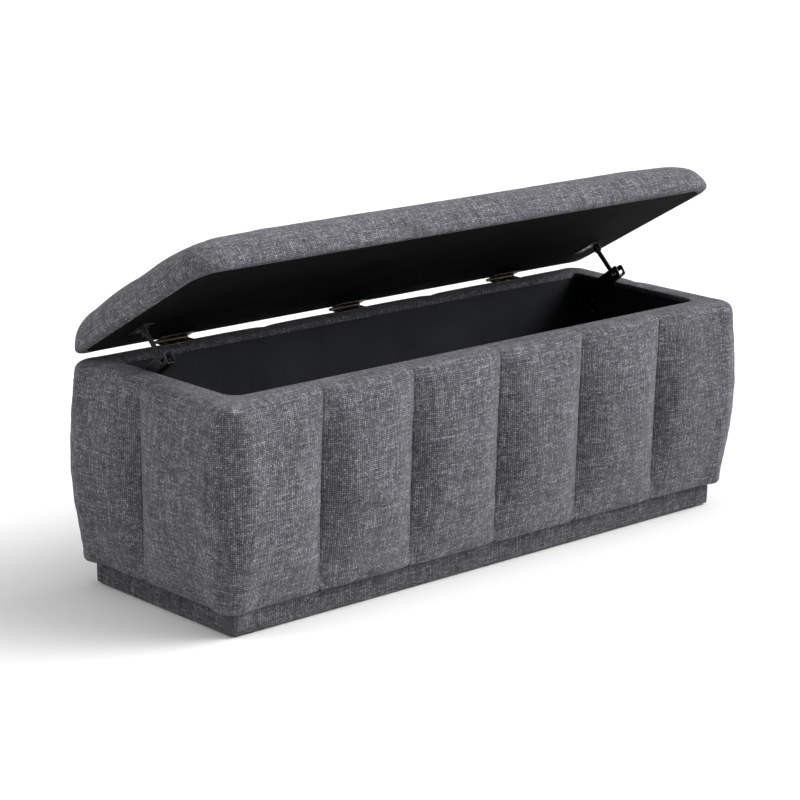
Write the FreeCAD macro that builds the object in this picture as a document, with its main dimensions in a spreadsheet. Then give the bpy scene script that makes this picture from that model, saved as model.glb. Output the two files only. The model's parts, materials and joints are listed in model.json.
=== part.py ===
"""Upholstered storage bench with a hinged, padded lid, a fabric-wrapped box on a recessed plinth,
three butt hinges and two lid stays.

Frame: +Z up, +X along the length, the front faces -Y. The origin is on the floor under the middle
of the box. Lengths are in millimetres. The lid pieces are drawn shut and then turned open about
the hinge line, because the bench is stored with its lid part open.
"""
import FreeCAD, Part
import math
import os
import Sketcher
from FreeCAD import Placement, Rotation, Vector

document = FreeCAD.newDocument("StorageBench")
sheet = document.addObject("Spreadsheet::Sheet", "Sizes")

SIZES = {
    # Plinth and floor contact
    "plinth_length": 1148.0,
    "plinth_depth": 367.0,
    "plinth_top": 50.0,
    "plinth_board": 18.0,
    "glide_height": 3.0,
    "glide_radius": 15.0,
    "glide_inset_x": 30.0,
    "glide_inset_y": 8.0,
    "plinth_cloth": 1.5,
    "dust_cloth": 0.8,
    # Box carcass
    "rim_length": 1200.0,
    "rim_depth": 410.0,
    "rim_top": 392.8,
    "rim_padding": 3.0,
    "rim_corner": 27.0,
    "rim_edge_round": 2.9,
    "opening_front_corner": 28.0,
    "opening_back_corner": 8.0,
    "side_padding": 35.0,
    "wall": 15.0,
    "floor_board": 14.0,
    "rail_height": 18.0,
    "rail_corner": 22.0,
    "rail_round": 12.0,
    "edge_padding": 9.0,
    "lining": 1.0,
    # Padded channels
    "channel_pitch": 200.0,
    "side_seam": 30.0,
    "channel_gap": 0.2,
    "channel_round": 12.0,
    "front_bulge": 17.0,
    "side_bulge": 16.0,
    "front_tuck": 6.0,
    "side_tuck": 10.0,
    # Lid
    "lid_length": 1210.0,
    "lid_front": 205.0,
    "lid_back": 202.0,
    "lid_under": 396.2,
    "lid_thickness": 74.0,
    "lid_corner": 38.0,
    "lid_crown": 36.0,
    "lid_lower_round": 5.0,
    "lid_board": 16.0,
    "lid_board_length": 1176.0,
    "lid_board_reach": 196.0,
    "lid_board_corner": 30.0,
    "lid_cloth_length": 1191.0,
    "lid_cloth_front": 181.0,
    "lid_cloth_back": 200.7,
    "lid_opening": 30.26,
    # Hinges
    "hinge_axis_back": 204.0,
    "hinge_axis_up": 394.5,
    "hinge_spacing": 395.0,
    "hinge_width": 70.0,
    "leaf_front": 178.0,
    "leaf_end": 200.7,
    "leaf_thickness": 1.5,
    "knuckle_radius": 3.0,
    "knuckle_gap": 0.2,
    "pin_radius": 1.5,
    "pin_play": 0.05,
    "pin_end": 0.5,
    "barrel_clearance": 0.3,
    "hinge_screw_spacing": 23.0,
    "hinge_screw_near": 6.0,
    "hinge_screw_far": 12.0,
    # Wood screws
    "screw_radius": 1.7,
    "screw_head": 3.4,
    "screw_head_depth": 1.5,
    "screw_length": 14.0,
    "screw_play": 0.1,
    "panel_screw_radius": 2.2,
    "panel_screw_head": 4.4,
    "panel_screw_depth": 3.0,
    "panel_screw_length": 40.0,
    "panel_screw_low": 90.0,
    "panel_screw_step": 125.0,
    "floor_screw_step": 240.0,
    # Lid stays
    "stay_offset": 537.0,
    "stay_root_back": 137.0,
    "stay_root_up": 335.7,
    "stay_arm_reach": 120.5,
    "stay_arm_angle": 143.23,
    "stay_link_reach": 65.0,
    "stay_link_angle": 222.47,
    "stay_top_along": 128.6,
    "stay_top_drop": 8.8,
    "stay_slot_near": 6.6,
    "stay_slot_far": 13.5,
    "stay_slot_play": 0.35,
    "channel_width": 17.0,
    "channel_web_drop": 10.0,
    "channel_flange": 13.0,
    "channel_root_round": 10.0,
    "channel_tip": 8.0,
    "channel_chamfer": 4.0,
    "channel_taper": 25.0,
    "stay_sheet": 1.5,
    "link_width": 9.0,
    "link_thickness": 3.0,
    "elbow_pin_radius": 3.0,
    "stud_radius": 4.0,
    "rivet_radius": 3.0,
    "rivet_head_radius": 5.5,
    "rivet_head": 1.2,
    "stud_head_radius": 6.5,
    "stay_side_play": 0.3,
    "link_side_play": 0.2,
    "plate_thickness": 2.0,
    "plate_reach": 46.0,
    "plate_half_height": 18.0,
    "plate_back": 12.0,
    "bracket_reach": 52.0,
    "bracket_width": 20.0,
    "bracket_nose": 8.0,
    "bracket_below": 7.0,
}


class Size:
    """A length bound to the sheet: the expression that gives it and its present value."""

    def __init__(self, text, value):
        self.text = text
        self.value = value

    def join(self, other, sign, value):
        return Size("(" + self.text + " " + sign + " " + as_size(other).text + ")", value)

    def __add__(self, other):
        return self.join(other, "+", self.value + as_size(other).value)

    def __sub__(self, other):
        return self.join(other, "-", self.value - as_size(other).value)

    def __mul__(self, other):
        return self.join(other, "*", self.value * as_size(other).value)

    def __truediv__(self, other):
        return self.join(other, "/", self.value / as_size(other).value)

    def __neg__(self):
        return self * -1


def as_size(number):
    """A plain number as a Size, so that both can be added."""
    if isinstance(number, Size):
        return number
    return Size("(" + repr(round(float(number), 6)) + ")", float(number))


class Sizes:
    """The sheet's cells by name, each as a Size."""

    def __init__(self, cells):
        for row, (name, value) in enumerate(cells.items(), start=1):
            sheet.set("A%d" % row, name)
            sheet.set("B%d" % row, str(value))
            sheet.setAlias("B%d" % row, name)
            setattr(self, name, Size("Sizes." + name, value))


size = Sizes(SIZES)
document.recompute()

nodes = []


def bind(item, property_name, length):
    """Ties one property of an object to the sheet."""
    item.setExpression(property_name, as_size(length).text)


def place(item, x, y, z):
    """Binds the position of an object."""
    values = (as_size(x), as_size(y), as_size(z))
    item.Placement.Base = Vector(*[length.value for length in values])
    for letter, length in zip("xyz", values):
        bind(item, "Placement.Base." + letter, length)


def keep(item, label):
    """Names an object and puts it on the list of sub-parts to write."""
    item.Label = label
    nodes.append(item)
    return item


# ---------------------------------------------------------------- primitives

def box(name, x, y, z):
    """A block between two limits along each axis."""
    block = document.addObject("Part::Box", name)
    for property_name, (low, high) in zip(("Length", "Width", "Height"), (x, y, z)):
        bind(block, property_name, as_size(high) - low)
    place(block, x[0], y[0], z[0])
    return block


AXIS_TURNS = {
    "+X": Rotation(Vector(0, 1, 0), 90),
    "-X": Rotation(Vector(0, 1, 0), -90),
    "+Y": Rotation(Vector(1, 0, 0), -90),
    "-Y": Rotation(Vector(1, 0, 0), 90),
    "+Z": Rotation(),
    "-Z": Rotation(Vector(1, 0, 0), 180),
}


def cylinder(name, radius, height, at, direction):
    """A cylinder that starts at a point and runs along one of the axes."""
    rod = document.addObject("Part::Cylinder", name)
    bind(rod, "Radius", radius)
    bind(rod, "Height", height)
    rod.Placement.Rotation = AXIS_TURNS[direction]
    place(rod, *at)
    return rod


def cone(name, radius_start, radius_end, height, at, direction):
    """A cone frustum that starts at a point and runs along one of the axes."""
    frustum = document.addObject("Part::Cone", name)
    bind(frustum, "Radius1", radius_start)
    bind(frustum, "Radius2", radius_end)
    bind(frustum, "Height", height)
    frustum.Placement.Rotation = AXIS_TURNS[direction]
    place(frustum, *at)
    return frustum


def fuse(name, shapes):
    """One solid out of several that touch."""
    union = document.addObject("Part::MultiFuse", name)
    union.Shapes = shapes
    return union


def group(name, shapes):
    """Separate solids kept together in one sub-part."""
    compound = document.addObject("Part::Compound", name)
    compound.Links = shapes
    return compound


def cut(name, base, tools):
    """A solid with holes or recesses taken out."""
    difference = document.addObject("Part::Cut", name)
    difference.Base = base
    difference.Tool = tools[0] if len(tools) == 1 else group(name + "_tools", tools)
    return difference


def wood_screw(name, at, direction, kind="screw"):
    """A countersunk screw whose head lies flush at a point and whose shank runs along direction."""
    if kind == "panel_screw":
        radius = size.panel_screw_radius
        head_radius = size.panel_screw_head
        depth = size.panel_screw_depth
        length = size.panel_screw_length
    else:
        radius = size.screw_radius
        head_radius = size.screw_head
        depth = size.screw_head_depth
        length = size.screw_length
    head = cone(name + "_head", head_radius, radius, depth, at, direction)
    shank = cylinder(name + "_shank", radius, length, at, direction)
    return fuse(name, [head, shank])


def screw_hole(name, at, direction, through):
    """The countersunk clearance hole for a wood screw in a metal sheet."""
    head = cone(name + "_sink", size.screw_head + size.screw_play,
                size.screw_radius + size.screw_play, size.screw_head_depth, at, direction)
    shank = cylinder(name + "_bore", size.screw_radius + size.screw_play, through, at, direction)
    return fuse(name, [head, shank])


# ---------------------------------------------------------------- sketched bodies

def new_body(name):
    return document.addObject("PartDesign::Body", name)


def new_sketch(body, name, plane, offset=None):
    """A sketch on one of the body's own origin planes, moved along the plane's normal."""
    sketch = body.newObject("Sketcher::SketchObject", name)
    support = [feature for feature in body.Origin.OriginFeatures if feature.Role == plane][0]
    sketch.AttachmentSupport = [(support, "")]
    sketch.MapMode = "FlatFace"
    if offset is not None:
        sketch.AttachmentOffset.Base.z = as_size(offset).value
        bind(sketch, "AttachmentOffset.Base.z", offset)
    return sketch


def pin_point(sketch, geometry, which, x, y):
    """Holds one point of a sketch at two bound distances from its origin."""
    for kind, length in (("DistanceX", as_size(x)), ("DistanceY", as_size(y))):
        number = sketch.addConstraint(
            Sketcher.Constraint(kind, -1, 1, geometry, which, length.value))
        sketch.setExpression("Constraints[%d]" % number, length.text)


def outline(sketch, points):
    """A closed outline. A point is (x, y), or (x, y, radius, side) when an arc leads to it.

    side is +1 when the arc bulges to the left of its chord and -1 to the right.
    """
    count = len(points)
    numbers = []
    for index in range(count):
        start = points[index - 1]
        finish = points[index]
        first = Vector(as_size(start[0]).value, as_size(start[1]).value, 0)
        last = Vector(as_size(finish[0]).value, as_size(finish[1]).value, 0)
        if len(finish) == 2:
            number = sketch.addGeometry(Part.LineSegment(first, last))
            numbers.append(number)
            pin_point(sketch, number, 2, finish[0], finish[1])
            continue
        radius = as_size(finish[2])
        chord = last - first
        sagitta = radius.value - math.sqrt(max(radius.value ** 2 - chord.Length ** 2 / 4, 0))
        normal = Vector(-chord.y, chord.x, 0).normalize()
        middle = (first + last) * 0.5 + normal * sagitta * finish[3]
        arc = Part.Arc(first, middle, last)
        number = sketch.addGeometry(arc)
        numbers.append(number)
        begins_first = sketch.getPoint(number, 1).distanceToPoint(first) < 1e-6
        pin_point(sketch, number, 2 if begins_first else 1, finish[0], finish[1])
        bound = sketch.addConstraint(Sketcher.Constraint("Radius", number, radius.value))
        sketch.setExpression("Constraints[%d]" % bound, radius.text)
    for index in range(count):
        joint = Vector(as_size(points[index - 1][0]).value, as_size(points[index - 1][1]).value, 0)
        ends = []
        for number in (numbers[index - 1], numbers[index]):
            near_start = sketch.getPoint(number, 1).distanceToPoint(joint) < 1e-6
            ends.append((number, 1 if near_start else 2))
        sketch.addConstraint(
            Sketcher.Constraint("Coincident", ends[0][0], ends[0][1], ends[1][0], ends[1][1]))


def rectangle(sketch, x, y):
    """A rectangle between two limits along each sketch axis."""
    outline(sketch, [(x[0], y[0]), (x[1], y[0]), (x[1], y[1]), (x[0], y[1])])


def circle(sketch, x, y, radius):
    """A circle with a bound centre and radius."""
    centre = Vector(as_size(x).value, as_size(y).value, 0)
    number = sketch.addGeometry(Part.Circle(centre, Vector(0, 0, 1), as_size(radius).value))
    pin_point(sketch, number, 3, x, y)
    bound = sketch.addConstraint(Sketcher.Constraint("Radius", number, as_size(radius).value))
    sketch.setExpression("Constraints[%d]" % bound, as_size(radius).text)


def pad(body, sketch, length, both_ways=False):
    """Extrudes a sketch along its normal."""
    feature = body.newObject("PartDesign::Pad", sketch.Name + "_pad")
    feature.Profile = sketch
    bind(feature, "Length", length)
    feature.Midplane = both_ways
    return feature


def pocket(body, sketch, length, both_ways=False, backwards=False):
    """Cuts a sketch out of the body, and checks that it really removes something."""
    document.recompute()
    before = body.Shape.Volume
    feature = body.newObject("PartDesign::Pocket", sketch.Name + "_pocket")
    feature.Profile = sketch
    bind(feature, "Length", length)
    feature.Midplane = both_ways
    feature.Reversed = backwards
    document.recompute()
    if body.Shape.Volume > before - 1e-3:
        raise RuntimeError(sketch.Name + " cuts nothing")
    return feature


def round_edges(body, base, name, radius, wanted):
    """Fillets the edges of a feature that a test picks out."""
    document.recompute()
    names = []
    for number, edge in enumerate(base.Shape.Edges, start=1):
        if wanted(edge):
            names.append("Edge%d" % number)
    if not names:
        raise RuntimeError(name + " finds no edge")
    feature = body.newObject("PartDesign::Fillet", name)
    feature.Base = (base, names)
    bind(feature, "Radius", radius)
    return feature


def edge_middle(edge):
    return edge.valueAt((edge.FirstParameter + edge.LastParameter) / 2)


def runs_along(edge, axis):
    """True for a straight edge along an axis."""
    direction = edge.tangentAt(edge.FirstParameter)
    return edge.Curve.TypeId == "Part::GeomLine" and abs(direction.dot(axis)) > 0.999


# ---------------------------------------------------------------- shared levels

BEYOND = 5
HINGES = (("left", -1), ("middle", 0), ("right", 1))
STAYS = (("left", -1), ("right", 1))

floor_under = size.plinth_top
floor_above = floor_under + size.floor_board
rail_top = size.rim_top - size.rim_padding
rail_under = rail_top - size.rail_height

wall_outer_x = size.rim_length / 2 - size.side_padding
wall_outer_y = size.rim_depth / 2 - size.side_padding
wall_inner_x = wall_outer_x - size.wall
wall_inner_y = wall_outer_y - size.wall
rail_outer_x = size.rim_length / 2 - size.edge_padding
rail_outer_y = size.rim_depth / 2 - size.edge_padding
inside_x = wall_inner_x - size.lining
inside_y = wall_inner_y - size.lining


def both_sides(low, high):
    """The span between two positive limits, on the positive side and mirrored."""
    return {1: (low, high), -1: (-high, -low)}


# ---------------------------------------------------------------- plinth

def plinth():
    """Four boards on edge, their cloth cover, glides and the dust cloth under the bench."""
    outer_x = size.plinth_length / 2 - size.plinth_cloth
    outer_y = size.plinth_depth / 2 - size.plinth_cloth
    inner_x = outer_x - size.plinth_board
    inner_y = outer_y - size.plinth_board
    rail_foot = size.glide_height + size.dust_cloth
    height = (rail_foot, size.plinth_top)
    for side, word in ((-1, "front"), (1, "back")):
        span = both_sides(inner_y, outer_y)[side]
        keep(box("plinth_%s_board" % word, (-outer_x, outer_x), span, height),
             "plinth_%s_board" % word)
    for side, word in ((-1, "left"), (1, "right")):
        span = both_sides(inner_x, outer_x)[side]
        keep(box("plinth_%s_board" % word, span, (-inner_y, inner_y), height),
             "plinth_%s_board" % word)

    cover = new_body("plinth_cover")
    ring = new_sketch(cover, "plinth_cover_ring", "XY_Plane", rail_foot)
    rectangle(ring, (-size.plinth_length / 2, size.plinth_length / 2),
              (-size.plinth_depth / 2, size.plinth_depth / 2))
    rectangle(ring, (-outer_x, outer_x), (-outer_y, outer_y))
    pad(cover, ring, size.plinth_top - rail_foot)
    keep(cover, "plinth_cover")

    keep(box("base_dust_cloth", (-outer_x, outer_x), (-outer_y, outer_y),
             (size.glide_height, rail_foot)), "base_dust_cloth")

    glides = []
    glide_x = outer_x - size.plinth_board / 2 - size.glide_inset_x
    glide_y = outer_y - size.plinth_board / 2 - size.glide_inset_y
    for column, across in enumerate((-glide_x, as_size(0), glide_x)):
        for row, along in enumerate((-glide_y, glide_y)):
            glides.append(cylinder("glide_%d_%d" % (column, row), size.glide_radius,
                                   size.glide_height, (across, along, 0), "+Z"))
    keep(group("floor_glides", glides), "floor_glides")


# ---------------------------------------------------------------- carcass

def carcass():
    """The wooden box: floor, four walls, a frame of rails on top and the screws."""
    keep(box("floor_panel", (-wall_outer_x, wall_outer_x), (-wall_outer_y, wall_outer_y),
             (floor_under, floor_above)), "floor_panel")
    wall_height = (floor_above, rail_under)
    for side, word in ((-1, "front"), (1, "back")):
        panel = both_sides(wall_inner_y, wall_outer_y)[side]
        keep(box("%s_panel" % word, (-wall_outer_x, wall_outer_x), panel, wall_height),
             "%s_panel" % word)
        rail("%s_rail" % word, (-rail_outer_x, rail_outer_x),
             both_sides(wall_inner_y, rail_outer_y)[side], True)
    for side, word in ((-1, "left"), (1, "right")):
        panel = both_sides(wall_inner_x, wall_outer_x)[side]
        inner = (-wall_inner_y, wall_inner_y)
        keep(box("%s_panel" % word, panel, inner, wall_height), "%s_panel" % word)
        rail("%s_rail" % word, both_sides(wall_inner_x, rail_outer_x)[side], inner, False)

    screws = []
    wall_middle = size.wall / 2
    for side, word, into in ((-1, "front", "+Y"), (1, "back", "-Y")):
        for end, name in ((-1, "left"), (1, "right")):
            for level in range(3):
                height = size.panel_screw_low + size.panel_screw_step * level
                at = ((wall_outer_x - wall_middle) * end, wall_outer_y * side, height)
                screws.append(wood_screw("panel_screw_%s_%s_%d" % (word, name, level), at, into,
                                         "panel_screw"))
        for number in range(5):
            across = size.floor_screw_step * (number - 2)
            at = (across, (wall_outer_y - wall_middle) * side, floor_under)
            screws.append(wood_screw("floor_screw_%s_%d" % (word, number), at, "+Z",
                                     "panel_screw"))
    keep(group("panel_screws", screws), "panel_screws")


def rail(name, across, span, has_corners):
    """A rail, rounded under the padding along its outer top edge and at its outer corners."""
    body = new_body(name)
    plan = new_sketch(body, name + "_plan", "XY_Plane", rail_under)
    rectangle(plan, across, span)
    block = pad(body, plan, size.rail_height)
    if has_corners:
        block = round_edges(body, block, name + "_corners", size.rail_corner,
                            lambda edge: runs_along(edge, Vector(0, 0, 1))
                            and abs(edge_middle(edge).y) > wall_outer_y.value)
    outermost_x = (rail_outer_x - size.rail_corner / 2).value
    outermost_y = (rail_outer_y - size.rail_corner / 2).value
    round_edges(body, block, name + "_shoulder", size.rail_round,
                lambda edge: abs(edge_middle(edge).z - rail_top.value) < 0.01
                and (abs(edge_middle(edge).x) > outermost_x
                     or abs(edge_middle(edge).y) > outermost_y))
    keep(body, name)


def lining():
    """The black cloth that lines the inside, open at the top."""
    tub = new_body("box_lining")
    block = new_sketch(tub, "lining_block", "XY_Plane", floor_above)
    rectangle(block, (-wall_inner_x, wall_inner_x), (-wall_inner_y, wall_inner_y))
    pad(tub, block, rail_top - floor_above)
    hollow = new_sketch(tub, "lining_hollow", "XY_Plane", floor_above + size.lining)
    rectangle(hollow, (-inside_x, inside_x), (-inside_y, inside_y))
    pocket(tub, hollow, rail_top - floor_above, backwards=True)
    keep(tub, "box_lining")


def rim():
    """The padded cloth band on top of the rails.

    It is one ring with rounded corners, pressed down under the three hinge barrels.
    """
    band = new_body("rim_cover")
    ring = new_sketch(band, "rim_ring", "XY_Plane", rail_top)
    half_x = size.rim_length / 2
    half_y = size.rim_depth / 2
    rectangle(ring, (-half_x, half_x), (-half_y, half_y))
    rectangle(ring, (-inside_x, inside_x), (-inside_y, inside_y))
    top = pad(band, ring, size.rim_padding)

    def upright(edge, outer, back):
        """True for a vertical edge of the outer or the inner outline, at the back or the front."""
        middle = edge_middle(edge)
        is_outer = abs(middle.x) > half_x.value - 1
        return (runs_along(edge, Vector(0, 0, 1)) and is_outer == outer
                and (back is None or (middle.y > 0) == back))

    outside = round_edges(band, top, "rim_corners", size.rim_corner,
                          lambda edge: upright(edge, True, None))
    front = round_edges(band, outside, "opening_front_corners", size.opening_front_corner,
                        lambda edge: upright(edge, False, False))
    back = round_edges(band, front, "opening_back_corners", size.opening_back_corner,
                       lambda edge: upright(edge, False, True))
    round_edges(
        band, back, "rim_edge", size.rim_edge_round,
        lambda edge: abs(edge_middle(edge).z - size.rim_top.value) < 0.01
        and (abs(edge_middle(edge).x) > inside_x.value + BEYOND
             or abs(edge_middle(edge).y) > inside_y.value + BEYOND))
    dent = new_sketch(band, "barrel_dents", "XY_Plane", size.rim_top)
    dent_half = size.hinge_width / 2 + size.barrel_clearance
    dent_front = size.hinge_axis_back - size.knuckle_radius - size.barrel_clearance
    for _, step in HINGES:
        centre = size.hinge_spacing * step
        rectangle(dent, (centre - dent_half, centre + dent_half),
                  (dent_front, half_y + BEYOND))
    barrel_under = size.hinge_axis_up - size.knuckle_radius - size.barrel_clearance
    pocket(band, dent, size.rim_top - barrel_under)
    keep(band, "rim_cover")


# ---------------------------------------------------------------- padded channels

def barrel_profile(sketch, side, wall, foot, top, bulge, rail):
    """The section of a padded wall: flat against the board, bulging outward like a barrel.

    The pad stands in front of the wall board and, at the top, in front of the wider rail.
    """
    radius = ((rail_top - floor_under) * (rail_top - floor_under) / 4 + bulge * bulge)
    radius = radius / (bulge * 2)
    outline(sketch, [
        (wall * side, floor_under),
        (foot * side, floor_under),
        (top * side, rail_top, radius, -side),
        (rail * side, rail_top),
        (rail * side, rail_under),
        (wall * side, rail_under),
    ])


def channel_edges(edge, axis, low, high, outer):
    """True for an outer curved edge at one end of a channel."""
    middle = edge_middle(edge)
    along = middle.x if axis == "x" else middle.y
    outward = abs(middle.y) if axis == "x" else abs(middle.x)
    at_end = min(abs(along - low), abs(along - high)) < 0.01
    return at_end and outward > outer and edge.Length > 300


def long_channels():
    """Six padded channels along the front and six along the back.

    The end channels also turn the corner, so the shape of the side walls is cut into them.
    """
    foot = size.rim_depth / 2 - size.front_tuck
    for side, word in ((-1, "front"), (1, "back")):
        for number in range(6):
            name = "%s_channel_%d" % (word, number + 1)
            low = size.channel_pitch * (number - 3) + size.channel_gap / 2
            high = size.channel_pitch * (number - 2) - size.channel_gap / 2
            outer_end = size.rim_length / 2 + size.side_bulge
            if number == 0:
                low = -outer_end
            if number == 5:
                high = outer_end
            body = new_body(name)
            profile = new_sketch(body, name + "_profile", "YZ_Plane", low)
            barrel_profile(profile, side, wall_outer_y, foot, size.rim_depth / 2,
                           size.front_bulge, rail_outer_y)
            solid = pad(body, profile, high - low)
            if number in (0, 5):
                solid = trim_corner(body, name, -1 if number == 0 else 1)
            inner = [limit.value for limit in (low, high)
                     if abs(limit.value) < size.rim_length.value / 2]
            round_edges(body, solid, name + "_crown", size.channel_round,
                        lambda edge: channel_edges(edge, "x", inner[0], inner[-1],
                                                   rail_outer_y.value))
            keep(body, name)


def trim_corner(body, name, end):
    """Cuts the end of a long channel to the barrel of the side wall and rounds the corner."""
    reach = size.rim_length / 2 + size.side_bulge + BEYOND
    foot = size.rim_length / 2 - size.side_tuck
    radius = ((rail_top - floor_under) * (rail_top - floor_under) / 4
              + size.side_bulge * size.side_bulge) / (size.side_bulge * 2)
    waste = new_sketch(body, name + "_waste", "XZ_Plane")
    outline(waste, [
        (reach * end, floor_under - 1),
        (reach * end, rail_top + 1),
        (size.rim_length / 2 * end, rail_top + 1),
        (size.rim_length / 2 * end, rail_top),
        (foot * end, floor_under, radius, end),
        (foot * end, floor_under - 1),
    ])
    trimmed = pocket(body, waste, size.rim_depth * 2, both_ways=True)
    corner_x = size.rim_length.value / 2 - size.side_tuck.value - 1
    corner_y = size.rim_depth.value / 2 - size.front_tuck.value - 1
    return round_edges(
        body, trimmed, name + "_corner", size.rim_corner,
        lambda edge: edge.Length > 300 and abs(edge_middle(edge).x) > corner_x
        and abs(edge_middle(edge).y) > corner_y)


def short_channels():
    """Two padded channels on each end of the bench, between the corner pads."""
    foot = size.rim_length / 2 - size.side_tuck
    spans = (("front", -wall_outer_y, size.side_seam), ("rear", size.side_seam, wall_outer_y))
    for side, word in ((-1, "left"), (1, "right")):
        for place_word, low, high in spans:
            name = "%s_channel_%s" % (word, place_word)
            start = low + size.channel_gap / 2
            finish = high - size.channel_gap / 2
            body = new_body(name)
            profile = new_sketch(body, name + "_profile", "XZ_Plane", -finish)
            barrel_profile(profile, side, wall_outer_x, foot, size.rim_length / 2,
                           size.side_bulge, rail_outer_x)
            solid = pad(body, profile, finish - start)
            seam = finish.value if place_word == "front" else start.value
            round_edges(body, solid, name + "_crown", size.channel_round,
                        lambda edge: channel_edges(edge, "y", seam, seam, rail_outer_x.value))
            keep(body, name)


# ---------------------------------------------------------------- lid

def lid():
    """The lid: a board, its crowned cushion wrapped round it, and the cloth underneath."""
    half = size.lid_length / 2
    under = size.lid_under
    cloth_top = under + size.dust_cloth
    board_x = (-size.lid_board_length / 2, size.lid_board_length / 2)
    board_y = (-size.lid_board_reach, size.lid_board_reach)
    cloth_x = (-size.lid_cloth_length / 2, size.lid_cloth_length / 2)
    cloth_y = (-size.lid_cloth_front, size.lid_cloth_back)

    def upright(edge):
        return runs_along(edge, Vector(0, 0, 1))

    board = new_body("lid_board")
    slab_plan = new_sketch(board, "board_plan", "XY_Plane", cloth_top)
    rectangle(slab_plan, board_x, board_y)
    slab = pad(board, slab_plan, size.lid_board)
    round_edges(board, slab, "board_corners", size.lid_board_corner, upright)
    cloth = box("lid_dust_cloth", cloth_x, cloth_y, (under, cloth_top))

    cushion = new_body("lid_cushion")
    plan = new_sketch(cushion, "cushion_plan", "XY_Plane", under)
    rectangle(plan, (-half, half), (-size.lid_front, size.lid_back))
    block = pad(cushion, plan, size.lid_thickness)
    corners = round_edges(cushion, block, "cushion_corners", size.lid_corner, upright)
    top = (under + size.lid_thickness).value
    crown = round_edges(cushion, corners, "cushion_crown", size.lid_crown,
                        lambda edge: abs(edge_middle(edge).z - top) < 0.01)
    round_edges(cushion, crown, "cushion_lower_edge", size.lid_lower_round,
                lambda edge: abs(edge_middle(edge).z - under.value) < 0.01)
    recess = new_sketch(cushion, "cloth_recess", "XY_Plane", under)
    rectangle(recess, cloth_x, cloth_y)
    pocket(cushion, recess, size.dust_cloth, backwards=True)
    seat = new_sketch(cushion, "board_recess", "XY_Plane", cloth_top)
    rectangle(seat, board_x, board_y)
    pocket(cushion, seat, size.lid_board, backwards=True)
    return [keep(board, "lid_board"), keep(cushion, "lid_cushion"),
            keep(cloth, "lid_dust_cloth")]


# ---------------------------------------------------------------- hinges

def hinge_leaf(name, centre, level, knuckles, screw_side):
    """One leaf with its knuckles: level is its height range, knuckles the places it owns of five."""
    left = centre - size.hinge_width / 2
    pitch = size.hinge_width / 5
    shapes = [box(name + "_plate", (left, left + size.hinge_width),
                  (size.leaf_front, size.leaf_end), level)]
    bore_radius = size.pin_radius + size.pin_play
    for number in knuckles:
        start = left + pitch * number + size.knuckle_gap / 2
        finish = left + pitch * (number + 1) - size.knuckle_gap / 2
        shapes.append(box("%s_neck_%d" % (name, number), (start, finish),
                          (size.leaf_end, size.hinge_axis_back), level))
        shapes.append(cylinder("%s_knuckle_%d" % (name, number), size.knuckle_radius,
                               finish - start,
                               (start, size.hinge_axis_back, size.hinge_axis_up), "+X"))
    holes = [cylinder(name + "_bore", bore_radius, size.hinge_width + BEYOND * 2,
                      (left - BEYOND, size.hinge_axis_back, size.hinge_axis_up), "+X")]
    face = level[1] if screw_side == "-Z" else level[0]
    for number in range(3):
        holes.append(screw_hole("%s_hole_%d" % (name, number), leaf_screw(centre, number, face),
                                screw_side, size.leaf_thickness + BEYOND))
    return cut(name, fuse(name + "_solid", shapes), holes)


def leaf_screw(centre, number, face):
    """Where a hinge screw sits. They are staggered: the middle one is nearer the front."""
    inset = size.hinge_screw_near if number == 1 else size.hinge_screw_far
    return (centre + size.hinge_screw_spacing * (number - 1), size.leaf_front + inset, face)


def hinges():
    """Three butt hinges. The box leaf owns three knuckles of five and the lid leaf two."""
    lid_nodes = []
    pins = []
    box_screws = []
    lid_screws = []
    box_level = (size.rim_top, size.rim_top + size.leaf_thickness)
    lid_level = (size.lid_under - size.leaf_thickness, size.lid_under)
    for word, step in HINGES:
        centre = size.hinge_spacing * step
        keep(hinge_leaf("hinge_%s_box_leaf" % word, centre, box_level, (0, 2, 4), "-Z"),
             "hinge_%s_box_leaf" % word)
        lid_leaf = hinge_leaf("hinge_%s_lid_leaf" % word, centre, lid_level, (1, 3), "+Z")
        lid_nodes.append(keep(lid_leaf, "hinge_%s_lid_leaf" % word))
        pin_start = centre - size.hinge_width / 2 - size.pin_end
        pins.append(cylinder("hinge_%s_pin" % word, size.pin_radius,
                             size.hinge_width + size.pin_end * 2,
                             (pin_start, size.hinge_axis_back, size.hinge_axis_up), "+X"))
        for number in range(3):
            box_screws.append(wood_screw("box_screw_%s_%d" % (word, number),
                                         leaf_screw(centre, number, box_level[1]), "-Z"))
            lid_screws.append(wood_screw("lid_screw_%s_%d" % (word, number),
                                         leaf_screw(centre, number, lid_level[0]), "+Z"))
    keep(group("hinge_pins", pins), "hinge_pins")
    keep(group("hinge_box_screws", box_screws), "hinge_box_screws")
    lid_nodes.append(keep(group("hinge_lid_screws", lid_screws), "hinge_lid_screws"))
    return lid_nodes


# ---------------------------------------------------------------- lid stays

HALF_TURN = 1.001  # an arc of just this share of its half chord keeps a half turn solvable
PLATE_SCREWS = ((-34, -10), (-34, 10), (-17, 0))
BRACKET_SCREWS = (12, 27)


def outward(side):
    """The direction word of the wall that a stay stands beside."""
    return "+X" if side > 0 else "-X"


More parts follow.
